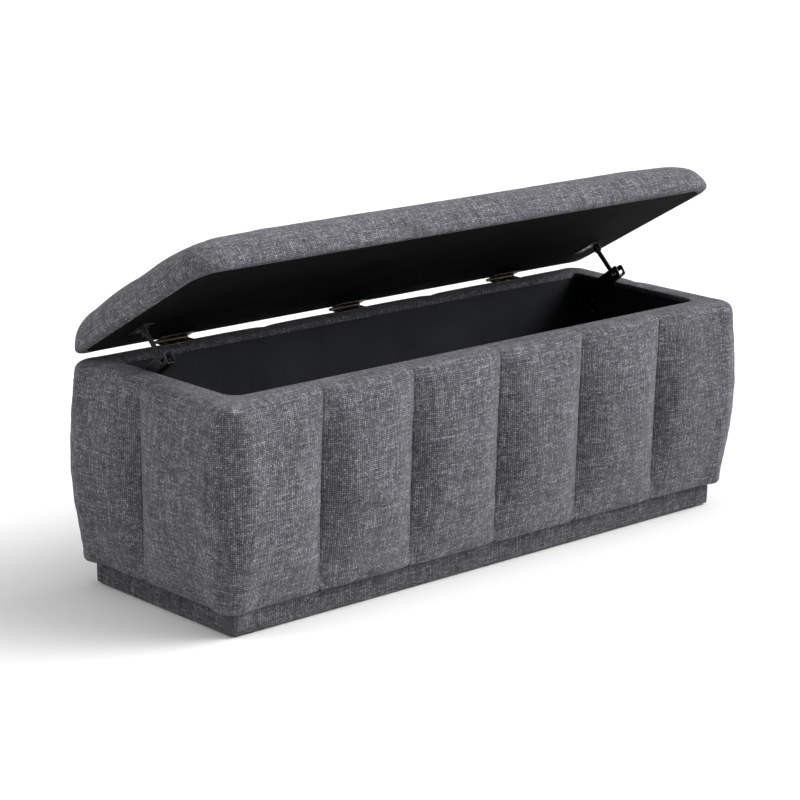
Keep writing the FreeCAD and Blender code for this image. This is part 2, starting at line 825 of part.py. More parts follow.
def stay_arm(name, side):
    """A channel-section arm, drawn along +Y from its root pivot and open towards -Z.

    Its far end has the slot in both flanges that the pin of the link slides in.
    """
    body = new_body(name)
    tip = size.stay_arm_reach + size.stay_slot_far + size.channel_tip
    root = size.channel_root_round
    half_root = size.channel_web_drop
    chamfer = size.channel_chamfer
    outer = new_sketch(body, name + "_side", "YZ_Plane")
    outline(outer, [
        (as_size(0), half_root),
        (as_size(0), -half_root, root * HALF_TURN, -1),
        (size.stay_arm_reach - size.channel_taper, -size.channel_flange),
        (tip - chamfer, -size.channel_flange),
        (tip, -size.channel_flange + chamfer),
        (tip, half_root - chamfer),
        (tip - chamfer, half_root),
    ])
    solid = pad(body, outer, size.channel_width, both_ways=True)
    round_edges(
        body, solid, name + "_web_round", size.stay_sheet * 2,
        lambda edge: runs_along(edge, Vector(0, 1, 0))
        and abs(edge_middle(edge).z - half_root.value) < 0.01)
    inner_width = size.channel_width - size.stay_sheet * 2
    trough = new_sketch(body, name + "_trough", "XY_Plane", half_root - size.stay_sheet)
    rectangle(trough, (-inner_width / 2, inner_width / 2), (-root * 2, tip + BEYOND))
    pocket(body, trough, size.channel_flange + half_root + BEYOND)
    holes = new_sketch(body, name + "_holes", "YZ_Plane")
    circle(holes, 0, 0, size.stud_radius + size.pin_play)
    slot_half = size.elbow_pin_radius + size.stay_slot_play
    near = size.stay_arm_reach - size.stay_slot_near
    far = size.stay_arm_reach + size.stay_slot_far
    outline(holes, [
        (far, -slot_half),
        (far, slot_half, slot_half * HALF_TURN, -1),
        (near, slot_half),
        (near, -slot_half, slot_half * HALF_TURN, -1),
    ])
    pocket(body, holes, size.channel_width * 2, both_ways=True)
    root_place = Vector(size.stay_offset.value * side, size.stay_root_back.value,
                        size.stay_root_up.value)
    body.Placement = Placement(root_place, Rotation(Vector(1, 0, 0), size.stay_arm_angle.value))
    keep(body, name)


def stay_link(name, side):
    """A flat bar with a cross pin at its lower end, drawn along +Y from the lid pivot."""
    body = new_body(name)
    half = size.link_width / 2
    bar = new_sketch(body, name + "_bar", "YZ_Plane")
    reach = size.stay_link_reach
    outline(bar, [
        (as_size(0), half),
        (as_size(0), -half, half * HALF_TURN, -1),
        (reach, -half),
        (reach, half, half * HALF_TURN, -1),
    ])
    pad(body, bar, size.link_thickness, both_ways=True)
    hole = new_sketch(body, name + "_eye", "YZ_Plane")
    circle(hole, 0, 0, size.rivet_radius + size.pin_play)
    pocket(body, hole, size.link_thickness * 2, both_ways=True)
    pin = new_sketch(body, name + "_pin", "YZ_Plane")
    circle(pin, reach, 0, size.elbow_pin_radius)
    head_start = size.channel_width / 2 + size.stay_side_play
    pad(body, pin, head_start * 2, both_ways=True)
    for sign, word in ((-1, "inner"), (1, "outer")):
        offset = head_start if sign > 0 else -head_start - size.rivet_head
        head = new_sketch(body, "%s_%s_head" % (name, word), "YZ_Plane", offset)
        circle(head, reach, 0, size.rivet_head_radius)
        pad(body, head, size.rivet_head)
    along = math.radians(size.lid_opening.value)
    top = lid_point(size.stay_top_along.value, -size.stay_top_drop.value, along)
    body.Placement = Placement(Vector(size.stay_offset.value * side, top.y, top.z),
                               Rotation(Vector(1, 0, 0), size.stay_link_angle.value))
    keep(body, name)


def lid_point(along, above, angle):
    """A point of the lid in the open pose: along it from the hinge line and above that line."""
    return Vector(0,
                  size.hinge_axis_back.value - along * math.cos(angle) + above * math.sin(angle),
                  size.hinge_axis_up.value + along * math.sin(angle) + above * math.cos(angle))


def stay_plate(word, side):
    """The flat plate on the side wall that carries the root of a stay."""
    name = "stay_%s_plate" % word
    inner_face = inside_x - size.plate_thickness
    span = both_sides(inner_face, inside_x)[side]
    back = size.stay_root_back
    level = size.stay_root_up
    sheet_metal = box(name + "_sheet", span, (back - size.plate_reach, back + size.plate_back),
                      (level - size.plate_half_height, level + size.plate_half_height))
    into = outward(side)
    holes = []
    for number, (along, height) in enumerate(PLATE_SCREWS):
        at = (inner_face * side, back + along, level + height)
        holes.append(screw_hole("%s_hole_%d" % (name, number), at, into,
                                size.plate_thickness + BEYOND))
    holes.append(cylinder(name + "_stud_hole", size.stud_radius,
                          size.plate_thickness + BEYOND * 2,
                          ((inner_face - BEYOND) * side, back, level), into))
    keep(cut(name, sheet_metal, holes), name)


def stay_studs():
    """The root pivots: a shouldered stud through each plate and both flanges of the arm."""
    studs = []
    screws = []
    for word, side in STAYS:
        into = outward(side)
        back = size.stay_root_back
        level = size.stay_root_up
        half_width = size.channel_width / 2 + size.stay_side_play
        head_start = size.stay_offset - half_width - size.rivet_head
        shoulder_start = size.stay_offset + half_width
        plate_face = inside_x - size.plate_thickness
        shapes = [
            cylinder("stud_%s_head" % word, size.stud_head_radius, size.rivet_head,
                     (head_start * side, back, level), into),
            cylinder("stud_%s_shank" % word, size.stud_radius, inside_x - head_start,
                     (head_start * side, back, level), into),
            cylinder("stud_%s_shoulder" % word, size.stud_head_radius,
                     plate_face - shoulder_start, (shoulder_start * side, back, level), into),
        ]
        studs.append(fuse("stud_%s" % word, shapes))
        for number, (along, height) in enumerate(PLATE_SCREWS):
            at = (plate_face * side, back + along, level + height)
            screws.append(wood_screw("plate_screw_%s_%d" % (word, number), at, into))
    keep(group("stay_studs", studs), "stay_studs")
    keep(group("stay_plate_screws", screws), "stay_plate_screws")


def stay_brackets():
    """The angle brackets under the lid, their rivets and their screws, drawn with the lid shut."""
    lid_nodes = []
    rivets = []
    screws = []
    top = size.lid_under
    pivot_y = size.hinge_axis_back - size.stay_top_along
    pivot_z = size.hinge_axis_up - size.stay_top_drop
    half_link = size.link_thickness / 2 + size.link_side_play
    cheek_inner = size.stay_offset + half_link
    cheek_outer = cheek_inner + size.plate_thickness
    for word, side in STAYS:
        name = "stay_%s_bracket" % word
        front = pivot_y - size.bracket_nose
        back = front + size.bracket_reach
        cheek = box(name + "_cheek", both_sides(cheek_inner, cheek_outer)[side],
                    (front, pivot_y + size.bracket_nose), (pivot_z - size.bracket_below, top))
        flange = box(name + "_flange",
                     both_sides(cheek_outer - size.bracket_width, cheek_outer)[side],
                     (front, back), (top - size.plate_thickness, top))
        screw_x = (cheek_outer - size.bracket_width / 2) * side
        holes = [cylinder(name + "_rivet_hole", size.rivet_radius,
                          size.plate_thickness + BEYOND * 2,
                          ((cheek_inner - BEYOND) * side, pivot_y, pivot_z), outward(side))]
        for number, along in enumerate(BRACKET_SCREWS):
            at = (screw_x, pivot_y + along, top - size.plate_thickness)
            holes.append(screw_hole("%s_hole_%d" % (name, number), at, "+Z",
                                    size.plate_thickness + BEYOND))
            screws.append(wood_screw("bracket_screw_%s_%d" % (word, number), at, "+Z"))
        lid_nodes.append(keep(cut(name, fuse(name + "_solid", [cheek, flange]), holes), name))
        head_start = size.stay_offset - half_link - size.rivet_head
        shapes = [
            cylinder("rivet_%s_head" % word, size.rivet_head_radius, size.rivet_head,
                     (head_start * side, pivot_y, pivot_z), outward(side)),
            cylinder("rivet_%s_shank" % word, size.rivet_radius, cheek_outer - head_start,
                     (head_start * side, pivot_y, pivot_z), outward(side)),
            cylinder("rivet_%s_tail" % word, size.rivet_head_radius - 1, size.rivet_head,
                     (cheek_outer * side, pivot_y, pivot_z), outward(side)),
        ]
        rivets.append(fuse("rivet_%s" % word, shapes))
    lid_nodes.append(keep(group("stay_bracket_rivets", rivets), "stay_bracket_rivets"))
    lid_nodes.append(keep(group("stay_bracket_screws", screws), "stay_bracket_screws"))
    return lid_nodes


def stays():
    """Two friction stays beside the end walls."""
    for word, side in STAYS:
        stay_plate(word, side)
        stay_arm("stay_%s_arm" % word, side)
        stay_link("stay_%s_link" % word, side)
    stay_studs()
    return stay_brackets()


# ---------------------------------------------------------------- assembly

def open_lid(lid_nodes):
    """Turns the lid pieces about the hinge line to the stored, part-open pose."""
    axis_point = Vector(0, size.hinge_axis_back.value, size.hinge_axis_up.value)
    turn = Placement(Vector(0, 0, 0), Rotation(Vector(-1, 0, 0), size.lid_opening.value),
                     axis_point)
    for item in lid_nodes:
        for letter in "xyz":
            item.setExpression("Placement.Base." + letter, None)
        item.Placement = turn.multiply(item.Placement)


def write_parts():
    """Checks every object and writes one file for each sub-part."""
    for item in document.Objects:
        if "Invalid" in item.State or "Error" in item.State:
            raise RuntimeError("%s: %s" % (item.Name, item.State))
    os.makedirs("parts", exist_ok=True)
    for item in nodes:
        if item.Shape.isNull() or not item.Shape.isValid() or not item.Shape.Solids:
            raise RuntimeError(item.Label + " is not a valid solid")
        item.Shape.exportStep("parts/%s.step" % item.Label)


plinth()
carcass()
lining()
rim()
long_channels()
short_channels()
lid_pieces = lid()
lid_pieces += hinges()
lid_pieces += stays()
document.recompute()
open_lid(lid_pieces)
document.recompute()
write_parts()
print("sub-parts:", len(nodes))
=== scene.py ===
"""Looks of the upholstered storage bench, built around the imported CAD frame.

Every soft piece is a grid whose rows run up the object and whose columns run round it, so each
vertex also knows its place on the flat cloth, which the woven material reads. Metres throughout.
"""
import json
import math

import bmesh
import bpy
import numpy as np
from mathutils import Matrix, Vector


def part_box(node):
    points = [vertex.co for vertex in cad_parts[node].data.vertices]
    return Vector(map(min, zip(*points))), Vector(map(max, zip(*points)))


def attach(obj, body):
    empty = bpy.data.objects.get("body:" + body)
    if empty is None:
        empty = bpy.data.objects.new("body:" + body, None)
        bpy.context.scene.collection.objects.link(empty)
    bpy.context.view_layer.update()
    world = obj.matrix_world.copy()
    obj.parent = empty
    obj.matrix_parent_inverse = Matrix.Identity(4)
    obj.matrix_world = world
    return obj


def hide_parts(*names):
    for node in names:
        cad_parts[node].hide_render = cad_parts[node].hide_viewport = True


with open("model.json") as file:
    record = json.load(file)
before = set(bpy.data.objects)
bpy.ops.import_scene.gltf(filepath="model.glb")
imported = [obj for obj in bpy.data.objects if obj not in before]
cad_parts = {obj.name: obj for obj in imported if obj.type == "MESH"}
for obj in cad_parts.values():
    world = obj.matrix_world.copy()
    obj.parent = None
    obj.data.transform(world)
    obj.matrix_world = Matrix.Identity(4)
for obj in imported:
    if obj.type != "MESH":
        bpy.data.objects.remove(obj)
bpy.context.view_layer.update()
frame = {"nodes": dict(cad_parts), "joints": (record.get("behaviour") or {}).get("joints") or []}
MM = 0.001
# the four corners in plan, anticlockwise from the front left one
CORNER_SIGNS = ((-1, -1), (1, -1), (1, 1), (-1, 1))
rng = np.random.default_rng(7)


# ---------- measures from the frame

def corners(node):
    """The lowest and highest corner of a CAD node as arrays."""
    low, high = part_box(node)
    return np.array(low), np.array(high)


_, rim_high = corners("rim_cover")
lining_low, lining_high = corners("box_lining")
plinth_low, plinth_high = corners("plinth_cover")
dust_low, dust_high = corners("base_dust_cloth")
wall_low, wall_high = corners("front_panel")
rail_low, rail_high = corners("front_rail")
pad_low, _ = corners("front_channel_3")
_, side_high = corners("left_channel_front")

FOOT = pad_low[2]
RAIL_TOP = rail_high[2]
RAIL_UNDER = rail_low[2]
RIM_TOP = rim_high[2]
WALL_X = wall_high[0]
WALL_Y = -wall_low[1]
RAIL_X = rail_high[0]
RAIL_Y = -rail_low[1]
LINING_THICKNESS = 1 * MM
OPENING_X = lining_high[0] - LINING_THICKNESS
OPENING_Y = lining_high[1] - LINING_THICKNESS
PITCH = corners("front_channel_4")[0][0] - pad_low[0]
SIDE_SEAM = (side_high[1] + corners("left_channel_rear")[0][1]) / 2

hinge = [joint for joint in frame["joints"] if joint["name"] == "lid_hinge"][0]
HINGE_POINT = Vector(hinge["pos_m"])
HINGE_AXIS = Vector(hinge["axis"]).normalized()
OPENING_ANGLE = -math.radians(hinge["range_deg"][0])
OPEN = (Matrix.Translation(HINGE_POINT) @ Matrix.Rotation(OPENING_ANGLE, 4, HINGE_AXIS)
        @ Matrix.Translation(-HINGE_POINT))
SHUT = OPEN.inverted()


def turned(points, matrix):
    """Points moved by a 4 by 4 matrix."""
    turn = np.array(matrix)
    return points @ turn[:3, :3].T + turn[:3, 3]


def shut_corners(node):
    """The corners of a lid node with the lid shut."""
    mesh = frame["nodes"][node].data
    points = np.empty(len(mesh.vertices) * 3, np.float32)
    mesh.vertices.foreach_get("co", points)
    points = turned(points.reshape(-1, 3), SHUT)
    return points.min(0), points.max(0)


# ---------- camera, floor, light

VIEW_AZIMUTH = math.radians(-42.645)
VIEW_ELEVATION = math.radians(14.803)
VIEW_ROLL = math.radians(0.823)
VIEW_PLACE = (-3.1342, -3.3451, 1.4803)
LENS = 120.74
LENS_SHIFT = (0.0029, -0.0049)
FLOOR_REACH = 30.0
FLOOR_TONE = 0.68
# where each soft light stands, how narrow it is and how bright
STUDIO_LIGHTS = (((0.80, -0.50, 0.60), 13.0, 14.2), ((-0.80, 0.42, 0.50), 13.0, 4.1),
                 ((0.0, 0.0, 1.0), 3.0, 1.35))
SKY = 0.05


def aim_camera():
    """The camera at the viewing angle, a long lens at eye height in front of the left end."""
    back = Vector((math.sin(VIEW_AZIMUTH) * math.cos(VIEW_ELEVATION),
                   -math.cos(VIEW_AZIMUTH) * math.cos(VIEW_ELEVATION),
                   math.sin(VIEW_ELEVATION)))
    right = (-back).cross(Vector((0, 0, 1))).normalized()
    up = right.cross(-back)
    local_x = math.cos(VIEW_ROLL) * right + math.sin(VIEW_ROLL) * up
    local_y = -math.sin(VIEW_ROLL) * right + math.cos(VIEW_ROLL) * up
    data = bpy.data.cameras.new("camera")
    data.sensor_width = 36.0
    data.lens = LENS
    data.shift_x, data.shift_y = LENS_SHIFT
    data.clip_end = 100.0
    camera = bpy.data.objects.new("camera", data)
    turn = Matrix((local_x, local_y, back)).transposed().to_4x4()
    camera.matrix_world = Matrix.Translation(VIEW_PLACE) @ turn
    bpy.context.scene.collection.objects.link(camera)
    bpy.context.scene.camera = camera


# ---------- material graphs

class Graph:
    """Short calls for wiring shader nodes. Any value may be a number or a socket."""

    def __init__(self, tree):
        self.tree = tree

    def node(self, kind, inputs=(), **settings):
        """A new node with its settings, its inputs given in order or by name."""
        made = self.tree.nodes.new(kind)
        for name, value in settings.items():
            setattr(made, name, value)
        self.feed(made, inputs)
        return made

    def feed(self, node, inputs):
        """Links or sets a node's inputs."""
        named = inputs.items() if isinstance(inputs, dict) else enumerate(inputs)
        for socket, value in named:
            if isinstance(value, bpy.types.NodeSocket):
                self.tree.links.new(value, node.inputs[socket])
            else:
                node.inputs[socket].default_value = value

    def finish(self, colour, roughness, normal):
        """Feeds the Principled shader."""
        self.feed(self.tree.nodes["Principled BSDF"],
                  {"Base Color": colour, "Roughness": roughness, "Normal": normal})

    def math(self, operation, *values):
        return self.node("ShaderNodeMath", values, operation=operation).outputs[0]

    def times(self, first, second):
        return self.math("MULTIPLY", first, second)

    def plus(self, first, second):
        return self.math("ADD", first, second)

    def vector(self, operation, *values):
        return self.node("ShaderNodeVectorMath", values, operation=operation)

    def stretch(self, vector, scale, move=(0, 0, 0)):
        """A vector scaled and moved."""
        return self.vector("MULTIPLY_ADD", vector, scale, move).outputs[0]

    def noise(self, vector, scale, detail=2.0, roughness=0.5):
        return self.node("ShaderNodeTexNoise", {"Vector": vector, "Scale": scale, "Detail": detail,
                                                "Roughness": roughness}).outputs["Fac"]

    def remap(self, value, low, high, out_low, out_high):
        return self.node("ShaderNodeMapRange", {
            "Value": value, "From Min": low, "From Max": high,
            "To Min": out_low, "To Max": out_high}).outputs["Result"]

    def ramp(self, value, stops):
        made = self.node("ShaderNodeValToRGB", {"Fac": value})
        points = made.color_ramp.elements
        while len(points) < len(stops):
            points.new(0.5)
        for point, (place, colour) in zip(points, stops):
            point.position = place
            point.color = (*colour, 1)
        return made.outputs["Color"]

    def mix(self, share, first, second):
        return self.node("ShaderNodeMix", {"Factor": share, "A": first, "B": second},
                         data_type="RGBA").outputs["Result"]

    def bump(self, height, strength, distance, normal=None):
        inputs = {"Height": height, "Strength": strength, "Distance": distance}
        if normal is not None:
            inputs["Normal"] = normal
        return self.node("ShaderNodeBump", inputs).outputs["Normal"]

    def split(self, vector):
        return self.node("ShaderNodeSeparateXYZ", [vector]).outputs

    def join(self, x, y, z=0.0):
        return self.node("ShaderNodeCombineXYZ", [x, y, z]).outputs[0]


def light_studio():
    """A pale floor in a white studio: a large soft key at the right, a weaker one at the left."""
    mesh = bpy.data.meshes.new("floor")
    mesh.from_pydata([(x * FLOOR_REACH, y * FLOOR_REACH, 0) for x, y in CORNER_SIGNS],
                     [], [(0, 1, 2, 3)])
    floor = bpy.data.objects.new("floor", mesh)
    bpy.context.scene.collection.objects.link(floor)
    paint = bpy.data.materials.new("floor_paint")
    paint.use_nodes = True
    Graph(paint.node_tree).feed(paint.node_tree.nodes["Principled BSDF"], {
        "Base Color": (FLOOR_TONE, FLOOR_TONE, FLOOR_TONE, 1), "Roughness": 0.9})
    mesh.materials.append(paint)

    world = bpy.data.worlds.new("studio")
    bpy.context.scene.world = world
    world.use_nodes = True
    graph = Graph(world.node_tree)
    direction = graph.node("ShaderNodeTexCoord").outputs["Generated"]
    strength = SKY
    for aim, tightness, brightness in STUDIO_LIGHTS:
        facing = graph.vector("DOT_PRODUCT", direction, Vector(aim).normalized())
        lobe = graph.math("POWER", graph.math("MAXIMUM", facing.outputs["Value"], 0.0), tightness)
        strength = graph.plus(graph.times(lobe, brightness), strength)
    graph.feed(world.node_tree.nodes["Background"],
               {"Color": (1, 1, 1, 1), "Strength": strength})
    bpy.context.scene.view_settings.view_transform = "Standard"


def new_material(name, roughness, metallic=0.0, sheen=0.0, specular=0.5):
    """A material with a Principled shader, and its graph."""
    material = bpy.data.materials.new(name)
    material.use_nodes = True
    graph = Graph(material.node_tree)
    graph.feed(material.node_tree.nodes["Principled BSDF"], {
        "Roughness": roughness, "Metallic": metallic, "Sheen Weight": sheen,
        "Sheen Roughness": 0.6, "Specular IOR Level": specular})
    return material, graph


def object_place(graph):
    """The point on the piece in its own metres."""
    return graph.node("ShaderNodeTexCoord").outputs["Object"]


# two sets of yarns, and the tone of each yarn: a salt for its number, how fast the tone changes
# along it and its share, for long slubs, short slubs and single flecks
WARP_PITCH = 3.8
WEFT_PITCH = 3.3
YARN_TONES = ((5.7, 0.011, 0.24), (7.31, 0.045, 0.36), (3.17, 0.24, 0.40))
# how far yarns wander from straight, in millimetres
WANDER = 4.0


def yarns(graph, run, cross, patch, pitch):
    """One set of parallel yarns: the number, the roundness and the tone of the yarn at a point."""
    counted = graph.math("DIVIDE", run, pitch)
    number = graph.math("FLOOR", counted)
    inside = graph.math("FRACT", counted)
    round_top = graph.math("SINE", graph.times(inside, math.pi))
    tone = 0.0
    for salt, change, share in YARN_TONES:
        place = graph.join(graph.times(number, salt), graph.times(cross, change), patch)
        tone = graph.plus(graph.times(graph.noise(place, 1.0, 1.0), share), tone)
    return number, round_top, tone


def woven_cloth(name, dark, middle, light):
    """A plain weave of slubby heather yarns, with painted shade in the hollows between the yarns,
    drawn in the flat cloth's own millimetres.
    """
    material, graph = new_material(name, 0.92, sheen=0.06, specular=0.12)
    flat = graph.node("ShaderNodeAttribute", attribute_name="cloth").outputs["Vector"]
    flat = graph.stretch(flat, (1000, 1000, 1000))
    wander = graph.node("ShaderNodeTexNoise", {"Vector": flat, "Scale": 0.03, "Detail": 1.0})
    drift = graph.stretch(wander.outputs["Color"], (WANDER, WANDER, 0),
                          (-WANDER / 2, -WANDER / 2, 0))
    across, along, patch = graph.split(graph.vector("ADD", flat, drift).outputs[0])

    warp_number, warp_round, warp_tone = yarns(graph, across, along, patch, WARP_PITCH)
    weft_number, weft_round, weft_tone = yarns(graph, along, across, patch, WEFT_PITCH)
    counted = graph.math("ABSOLUTE", graph.plus(warp_number, weft_number))
    over = graph.math("ROUND", graph.math("MODULO", counted, 2.0))
    under = graph.math("SUBTRACT", 1.0, over)
    warp_top = graph.times(warp_round, graph.remap(weft_round, 0, 1, 0.45, 1))
    weft_top = graph.times(weft_round, graph.remap(warp_round, 0, 1, 0.45, 1))
    height = graph.plus(graph.times(over, warp_top), graph.times(under, weft_top))
    tone = graph.plus(graph.times(over, warp_tone), graph.times(under, weft_tone))
    shared = graph.times(graph.plus(warp_tone, weft_tone), 0.5)
    tone = graph.plus(graph.times(tone, 0.6), graph.times(shared, 0.4))
    cloud = graph.noise(flat, 0.012, 2.0)
    tone = graph.plus(tone, graph.times(graph.math("SUBTRACT", cloud, 0.5), 0.05))
    colour = graph.ramp(tone, [(0.36, dark), (0.5, middle), (0.65, light)])
    # painted shade: the colour is darkened where the weave lies low, in the hollows between yarns
    yarn_gap_shade = graph.remap(height, 0.05, 0.8, 0.28, 1.14)
    shaded = graph.vector("MULTIPLY", colour, graph.join(yarn_gap_shade, yarn_gap_shade, yarn_gap_shade)).outputs[0]
    fibre = graph.noise(flat, 1.6, 3.0)
    thick = graph.times(height, graph.remap(tone, 0.35, 0.65, 0.7, 1.3))
    relief = graph.plus(thick, graph.times(fibre, 0.35))
    normal = graph.bump(relief, 0.6, 0.0009)
    crease = graph.noise(graph.stretch(flat, (1, 1.6, 1)), 0.03, 2.0)
    graph.finish(shaded, graph.remap(fibre, 0.2, 0.8, 0.84, 1.0),
                 graph.bump(crease, 0.10, 0.004, normal))
    return material


def thin_cloth(name, dark, light, dimple, specular):
    """Non-woven black cloth: bonded fibres with a fine grid of dimples."""
    material, graph = new_material(name, 0.9, specular=specular)
    flat = graph.node("ShaderNodeAttribute", attribute_name="cloth").outputs["Vector"]
    flat = graph.stretch(flat, (1000, 1000, 1000))
    across, along, patch = graph.split(flat)
    dots = graph.times(graph.math("SINE", graph.times(across, dimple)),
                       graph.math("SINE", graph.times(along, dimple)))
    fibres = graph.noise(graph.stretch(flat, (1, 0.35, 1)), 0.9, 4.0)
    cloud = graph.noise(flat, 0.012, 3.0)
    tone = graph.plus(graph.times(fibres, 0.45), graph.times(cloud, 0.55))
    relief = graph.plus(graph.times(dots, 0.6), fibres)
    normal = graph.bump(relief, 0.35, 0.0004)
    sag = graph.noise(flat, 0.006, 2.0)
    graph.finish(graph.ramp(tone, [(0.35, dark), (0.65, light)]),
                 graph.remap(fibres, 0.2, 0.8, 0.72, 0.95), graph.bump(sag, 0.35, 0.012, normal))
    return material


def edge_wear(graph, radius, threshold):
    """1 where a corner is sharp, from how far a bevelled normal leaves the true one."""
    bevel = graph.node("ShaderNodeBevel", {"Radius": radius}, samples=6).outputs[0]
    normal = graph.node("ShaderNodeNewGeometry").outputs["Normal"]
    facing = graph.vector("DOT_PRODUCT", bevel, normal).outputs["Value"]
    return graph.remap(facing, 1.0, threshold, 0.0, 1.0), bevel


def metal(name, base, worn, roughness, grain, wear=0.5, metallic=1.0):
    """Plated or blackened steel with a mottled finish and bright worn corners."""
    material, graph = new_material(name, roughness, metallic=metallic)
    place = object_place(graph)
    mottle = graph.noise(place, grain, 4.0, 0.6)
    scratches = graph.noise(graph.stretch(place, (1, 9, 9)), grain * 2.5, 2.0)
    edge, soft_normal = edge_wear(graph, 0.0008, 0.86)
    rub = graph.times(graph.times(edge, graph.remap(mottle, 0.35, 0.6, 0.0, 1.0)), wear)
    surface = graph.mix(graph.remap(mottle, 0.3, 0.7, 0.0, 1.0), (*base, 1),
                        tuple(c * 1.7 for c in base) + (1,))
    graph.finish(graph.mix(rub, surface, (*worn, 1)),
                 graph.remap(scratches, 0.3, 0.7, roughness - 0.1, roughness + 0.12),
                 graph.bump(graph.plus(mottle, scratches), 0.25, 0.0003, soft_normal))
    return material


def board(name, pale, deep, ring_scale):
    """Birch or pine board: long grain with rings and pores."""
    material, graph = new_material(name, 0.62)
    place = object_place(graph)
    long_grain = graph.stretch(place, (1.0, 14.0, 14.0))
    figure = graph.noise(long_grain, ring_scale, 5.0, 0.62)
    pores = graph.noise(graph.stretch(place, (3.0, 90.0, 90.0)), 14.0, 2.0)
    tone = graph.plus(graph.times(figure, 0.8), graph.times(pores, 0.2))
    graph.finish(graph.ramp(tone, [(0.38, deep), (0.62, pale)]),
                 graph.remap(pores, 0.3, 0.7, 0.5, 0.75), graph.bump(tone, 0.3, 0.0006))
    return material


def moulded_plastic(name, colour):
    """Matt moulded nylon with a fine spark-eroded grain and scuffs."""
    material, graph = new_material(name, 0.55)
    place = object_place(graph)
    grain = graph.noise(place, 1800.0, 2.0)
    scuff = graph.noise(place, 60.0, 4.0)
    graph.finish(graph.ramp(scuff, [(0.4, colour), (0.7, tuple(c * 1.8 for c in colour))]),
                 graph.remap(scuff, 0.3, 0.7, 0.45, 0.7), graph.bump(grain, 0.3, 0.0002))
    return material


# ---------- meshes

STIFFNESS = 15.0
HARD_FOLD = 50
SOFT_FOLD = 60


def make_object(name, points, faces, cloth=None, material=None):
    """A smooth mesh object. cloth holds each vertex's place on the flat cloth."""
    mesh = bpy.data.meshes.new(name)
    mesh.from_pydata([tuple(p) for p in points], [], faces)
    mesh.validate()
    if cloth is not None:
        layer = mesh.attributes.new("cloth", "FLOAT_VECTOR", "POINT")
        layer.data.foreach_set("vector", np.asarray(cloth, np.float32).ravel())
    mesh.polygons.foreach_set("use_smooth", [True] * len(mesh.polygons))
    made = bpy.data.objects.new(name, mesh)
    bpy.context.scene.collection.objects.link(made)
    if material is not None:
        mesh.materials.append(material)
    return made


def grid_faces(rows, columns, close_rows=False, close_columns=False, flip=False, start=0):
    """Quads over a grid of points numbered row by row."""
    faces = []
    for row in range(rows if close_rows else rows - 1):
        next_row = (row + 1) % rows
        for column in range(columns if close_columns else columns - 1):
            next_column = (column + 1) % columns
            quad = (row * columns + column, row * columns + next_column,
                    next_row * columns + next_column, next_row * columns + column)
            quad = tuple(start + index for index in quad)
            faces.append(quad[::-1] if flip else quad)
    return faces


def quarter(count, skip=0):
    """Sine and cosine of even steps from nought to a right angle, without the first few."""
    angles = np.linspace(0, math.pi / 2, count)[skip:]
    return list(zip(np.sin(angles), np.cos(angles)))


def run_along(row):
    """How far along a row of points each of them lies."""
    return np.concatenate([[0], np.cumsum(np.linalg.norm(np.diff(row, axis=0), axis=1))])


def fit(made, body, node, fold=HARD_FOLD):
    """Keeps a piece's sharp folds and fixes it to its body in place of its CAD node."""
    made.data.set_sharp_from_angle(angle=math.radians(fold))
    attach(made, body)
    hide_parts(node)


def cubic_weights(coarse, fine):
    """A matrix that takes values at coarse stations to fine ones along Catmull-Rom curves."""
    weights = np.zeros((len(fine), len(coarse)))
    last = len(coarse) - 1
    for row, value in enumerate(fine):
        left = int(np.clip(np.searchsorted(coarse, value) - 1, 0, last - 1))
        share = (value - coarse[left]) / (coarse[left + 1] - coarse[left])
        share = min(max(share, 0.0), 1.0)
        curve = (-0.5 * share + share ** 2 - 0.5 * share ** 3,
                 1 - 2.5 * share ** 2 + 1.5 * share ** 3,
                 0.5 * share + 2 * share ** 2 - 1.5 * share ** 3,
                 -0.5 * share ** 2 + 0.5 * share ** 3)
        for step, weight in zip(range(left - 1, left + 3), curve):
            weights[row, min(max(step, 0), last)] += weight
    return weights


def inflate(points, faces, pinned, pressure, spare):
    """Runs Cloth on a mesh and gives back where its vertices come to rest."""
    made = make_object("sewing_pattern", points, faces)
    group = made.vertex_groups.new(name="pinned")
    group.add([int(index) for index in np.flatnonzero(pinned)], 1.0, "REPLACE")
    modifier = made.modifiers.new("cloth", "CLOTH")
    settings = modifier.settings
    settings.vertex_group_mass = "pinned"
    settings.quality = 6
    settings.mass = 0.35
    settings.tension_stiffness = STIFFNESS
    settings.compression_stiffness = STIFFNESS
    settings.shear_stiffness = STIFFNESS / 2
    settings.bending_stiffness = 0.4
    settings.use_pressure = True
    settings.uniform_pressure_force = pressure
    settings.shrink_min = -spare
    settings.effector_weights.gravity = 0
    modifier.collision_settings.use_collision = False
    modifier.point_cache.frame_start = 1
    modifier.point_cache.frame_end = CLOTH_STEPS
    scene = bpy.context.scene
    for number in range(1, CLOTH_STEPS + 1):
        scene.frame_set(number)
    relaxed = made.evaluated_get(bpy.context.evaluated_depsgraph_get())
    result = np.empty(len(points) * 3, np.float32)
    relaxed.data.vertices.foreach_get("co", result)
    mesh = made.data
    bpy.data.objects.remove(made)
    bpy.data.meshes.remove(mesh)
    scene.frame_set(1)
    return result.reshape(-1, 3)


def capped(shift, most):
    """Displacements eased so that none is longer than most."""
    length = np.linalg.norm(shift, axis=-1, keepdims=True)
    return shift * (most * np.tanh(length / most) / np.maximum(length, 1e-9))


# ---------- the padded walls

# the base outline that the pads stand out from, and the band's outline inside it
CORNER = 35 * MM
TOP_CORNER = 8 * MM
TOP_INSET = 1.5 * MM
BASE_X = rim_high[0] - TOP_INSET
BASE_Y = rim_high[1] - TOP_INSET
SHOULDER_RISE = 16 * MM
SHOULDER_RUN = 18 * MM
BAND_EDGE = RIM_TOP - SHOULDER_RISE
